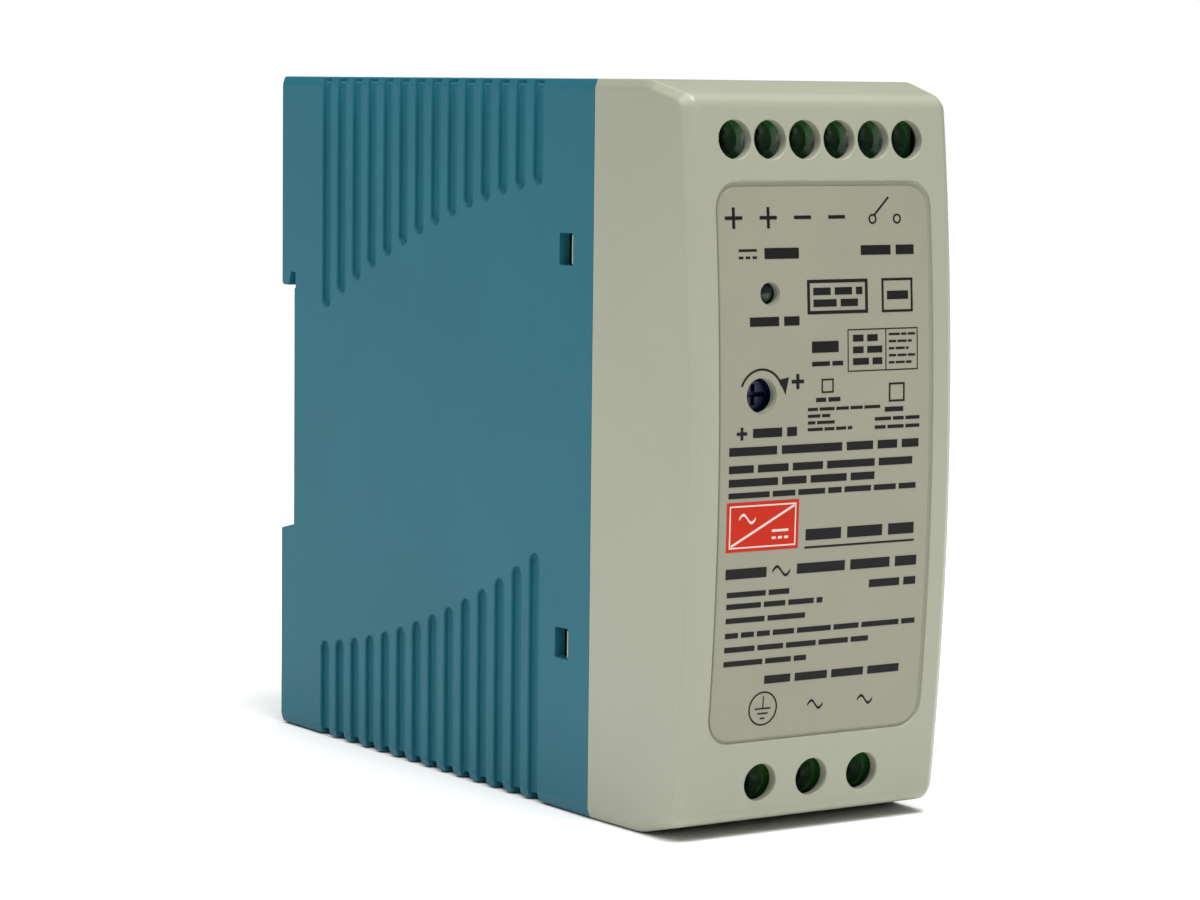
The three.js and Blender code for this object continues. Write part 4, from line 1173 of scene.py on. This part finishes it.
def dress_frame_nodes():
    """Rounds the edges of the inner CAD nodes and gives each its material."""
    for name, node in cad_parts.items():
        if node.hide_render:
            continue
        finish = next(NODE_FINISH[key] for key in NODE_FINISH if name.startswith(key))
        weld = node.modifiers.new("weld", "WELD")
        weld.merge_threshold = 0.002 * MM
        rounding = node.modifiers.new("rounding", "BEVEL")
        rounding.width = 0.12 * MM
        rounding.segments = 2
        rounding.limit_method = "ANGLE"
        rounding.angle_limit = math.radians(40)
        node.data.shade_smooth()
        weighted = node.modifiers.new("weighted", "WEIGHTED_NORMAL")
        weighted.keep_sharp = True
        node.data.materials.clear()
        node.data.materials.append(MATERIALS[finish])


# ---------------------------------------------------------------- stage, light and camera


FLOOR_REACH = 6000
FLOOR_DROP = 0.2  # keeps the floor clear of the faces that rest on it
AMBIENT = 0.14
MIDDLE = (0, 0, MID_Z * MM)
CAMERA_PLACE = (-0.261137, -0.398492, 0.088922)
CAMERA_YAW, CAMERA_PITCH, CAMERA_ROLL = 33.262, 5.656, -0.633
CAMERA_LENS = 109.77


def floor():
    size = FLOOR_REACH
    corners = [(-size, -size, 0), (size, -size, 0), (size, size, 0), (-size, size, 0)]
    ground = new_object("floor", corners, [(0, 1, 2, 3)])
    ground.data.transform(Matrix.Scale(MM, 4))
    ground.data.transform(Matrix.Translation((0, 0, -FLOOR_DROP * MM)))
    pale = surface("floor_paint", (0.97, 0.97, 0.97), 0.004, 3, (0.85, 0.95), grain=200, grain_depth=0.001)
    ground.data.materials.append(pale)


def area_light(name, place, size, power):
    """A soft rectangular light that points at the middle of the object."""
    lamp = bpy.data.lights.new(name, "AREA")
    lamp.shape = "RECTANGLE"
    lamp.size, lamp.size_y = size
    lamp.energy = power
    made = bpy.data.objects.new(name, lamp)
    made.location = place
    made.rotation_mode = "QUATERNION"
    made.rotation_quaternion = (Vector(MIDDLE) - Vector(place)).to_track_quat("-Z", "Y")
    bpy.context.scene.collection.objects.link(made)


def sun_light(name, direction, strength, spread):
    lamp = bpy.data.lights.new(name, "SUN")
    lamp.energy = strength
    lamp.angle = math.radians(spread)
    made = bpy.data.objects.new(name, lamp)
    made.rotation_mode = "QUATERNION"
    made.rotation_quaternion = Vector(direction).to_track_quat("-Z", "Y")
    bpy.context.scene.collection.objects.link(made)


def world_light():
    """Even studio light from all round, and pure white where the camera sees the background."""
    world = bpy.data.worlds.new("studio")
    bpy.context.scene.world = world
    world.use_nodes = True
    tree = world.node_tree
    tree.nodes.clear()
    lit = add_node(tree, "ShaderNodeBackground")
    lit.inputs["Color"].default_value = (1, 1, 1, 1)
    lit.inputs["Strength"].default_value = AMBIENT
    seen = add_node(tree, "ShaderNodeBackground")
    seen.inputs["Color"].default_value = (1, 1, 1, 1)
    seen.inputs["Strength"].default_value = 1.0
    rays = add_node(tree, "ShaderNodeLightPath")
    mixed = add_node(tree, "ShaderNodeMixShader", [("Fac", rays, "Is Camera Ray")])
    tree.links.new(lit.outputs["Background"], mixed.inputs[1])
    tree.links.new(seen.outputs["Background"], mixed.inputs[2])
    out = add_node(tree, "ShaderNodeOutputWorld")
    tree.links.new(mixed.outputs["Shader"], out.inputs["Surface"])


def camera():
    """The camera, turned by yaw from +Y, then pitched down and rolled. Place in metres."""
    yaw, pitch, roll = (math.radians(angle) for angle in (CAMERA_YAW, CAMERA_PITCH, CAMERA_ROLL))
    ahead = Vector((math.sin(yaw) * math.cos(pitch), math.cos(yaw) * math.cos(pitch), -math.sin(pitch)))
    right = Vector((math.cos(yaw), -math.sin(yaw), 0))
    down = ahead.cross(right)
    turned_right = right * math.cos(roll) + down * math.sin(roll)
    turned_up = right * math.sin(roll) - down * math.cos(roll)
    data = bpy.data.cameras.new("camera")
    data.lens = CAMERA_LENS
    data.sensor_width = 36
    made = bpy.data.objects.new("camera", data)
    axes = Matrix((turned_right, turned_up, -ahead)).transposed().to_4x4()
    made.matrix_world = Matrix.Translation(CAMERA_PLACE) @ axes
    data.clip_start = 0.01
    data.clip_end = 50
    bpy.context.scene.collection.objects.link(made)
    bpy.context.scene.camera = made


def studio():
    floor()
    world_light()
    sun_light("overhead", (0.1, 0.12, -1), 3.02, 70)
    area_light("left_softbox", (-1.1, 0.2, 0.45), (0.4, 0.9), 1.1)
    area_light("top_softbox", (0.05, -0.35, 1.1), (0.5, 0.4), 7.5)
    bpy.context.scene.view_settings.view_transform = "Standard"


housing_shell()
cover_shell()
label_sheet()
label_print()
for terminal_row in ROWS:
    bored_block(terminal_row)
    for pole_x, pole_z, pole_number in poles(terminal_row):
        screw_piece(terminal_row, pole_x, pole_z, pole_number)
led_piece()
trimmer_pieces()
latch_piece()
spring_piece()
dress_frame_nodes()
studio()
camera()
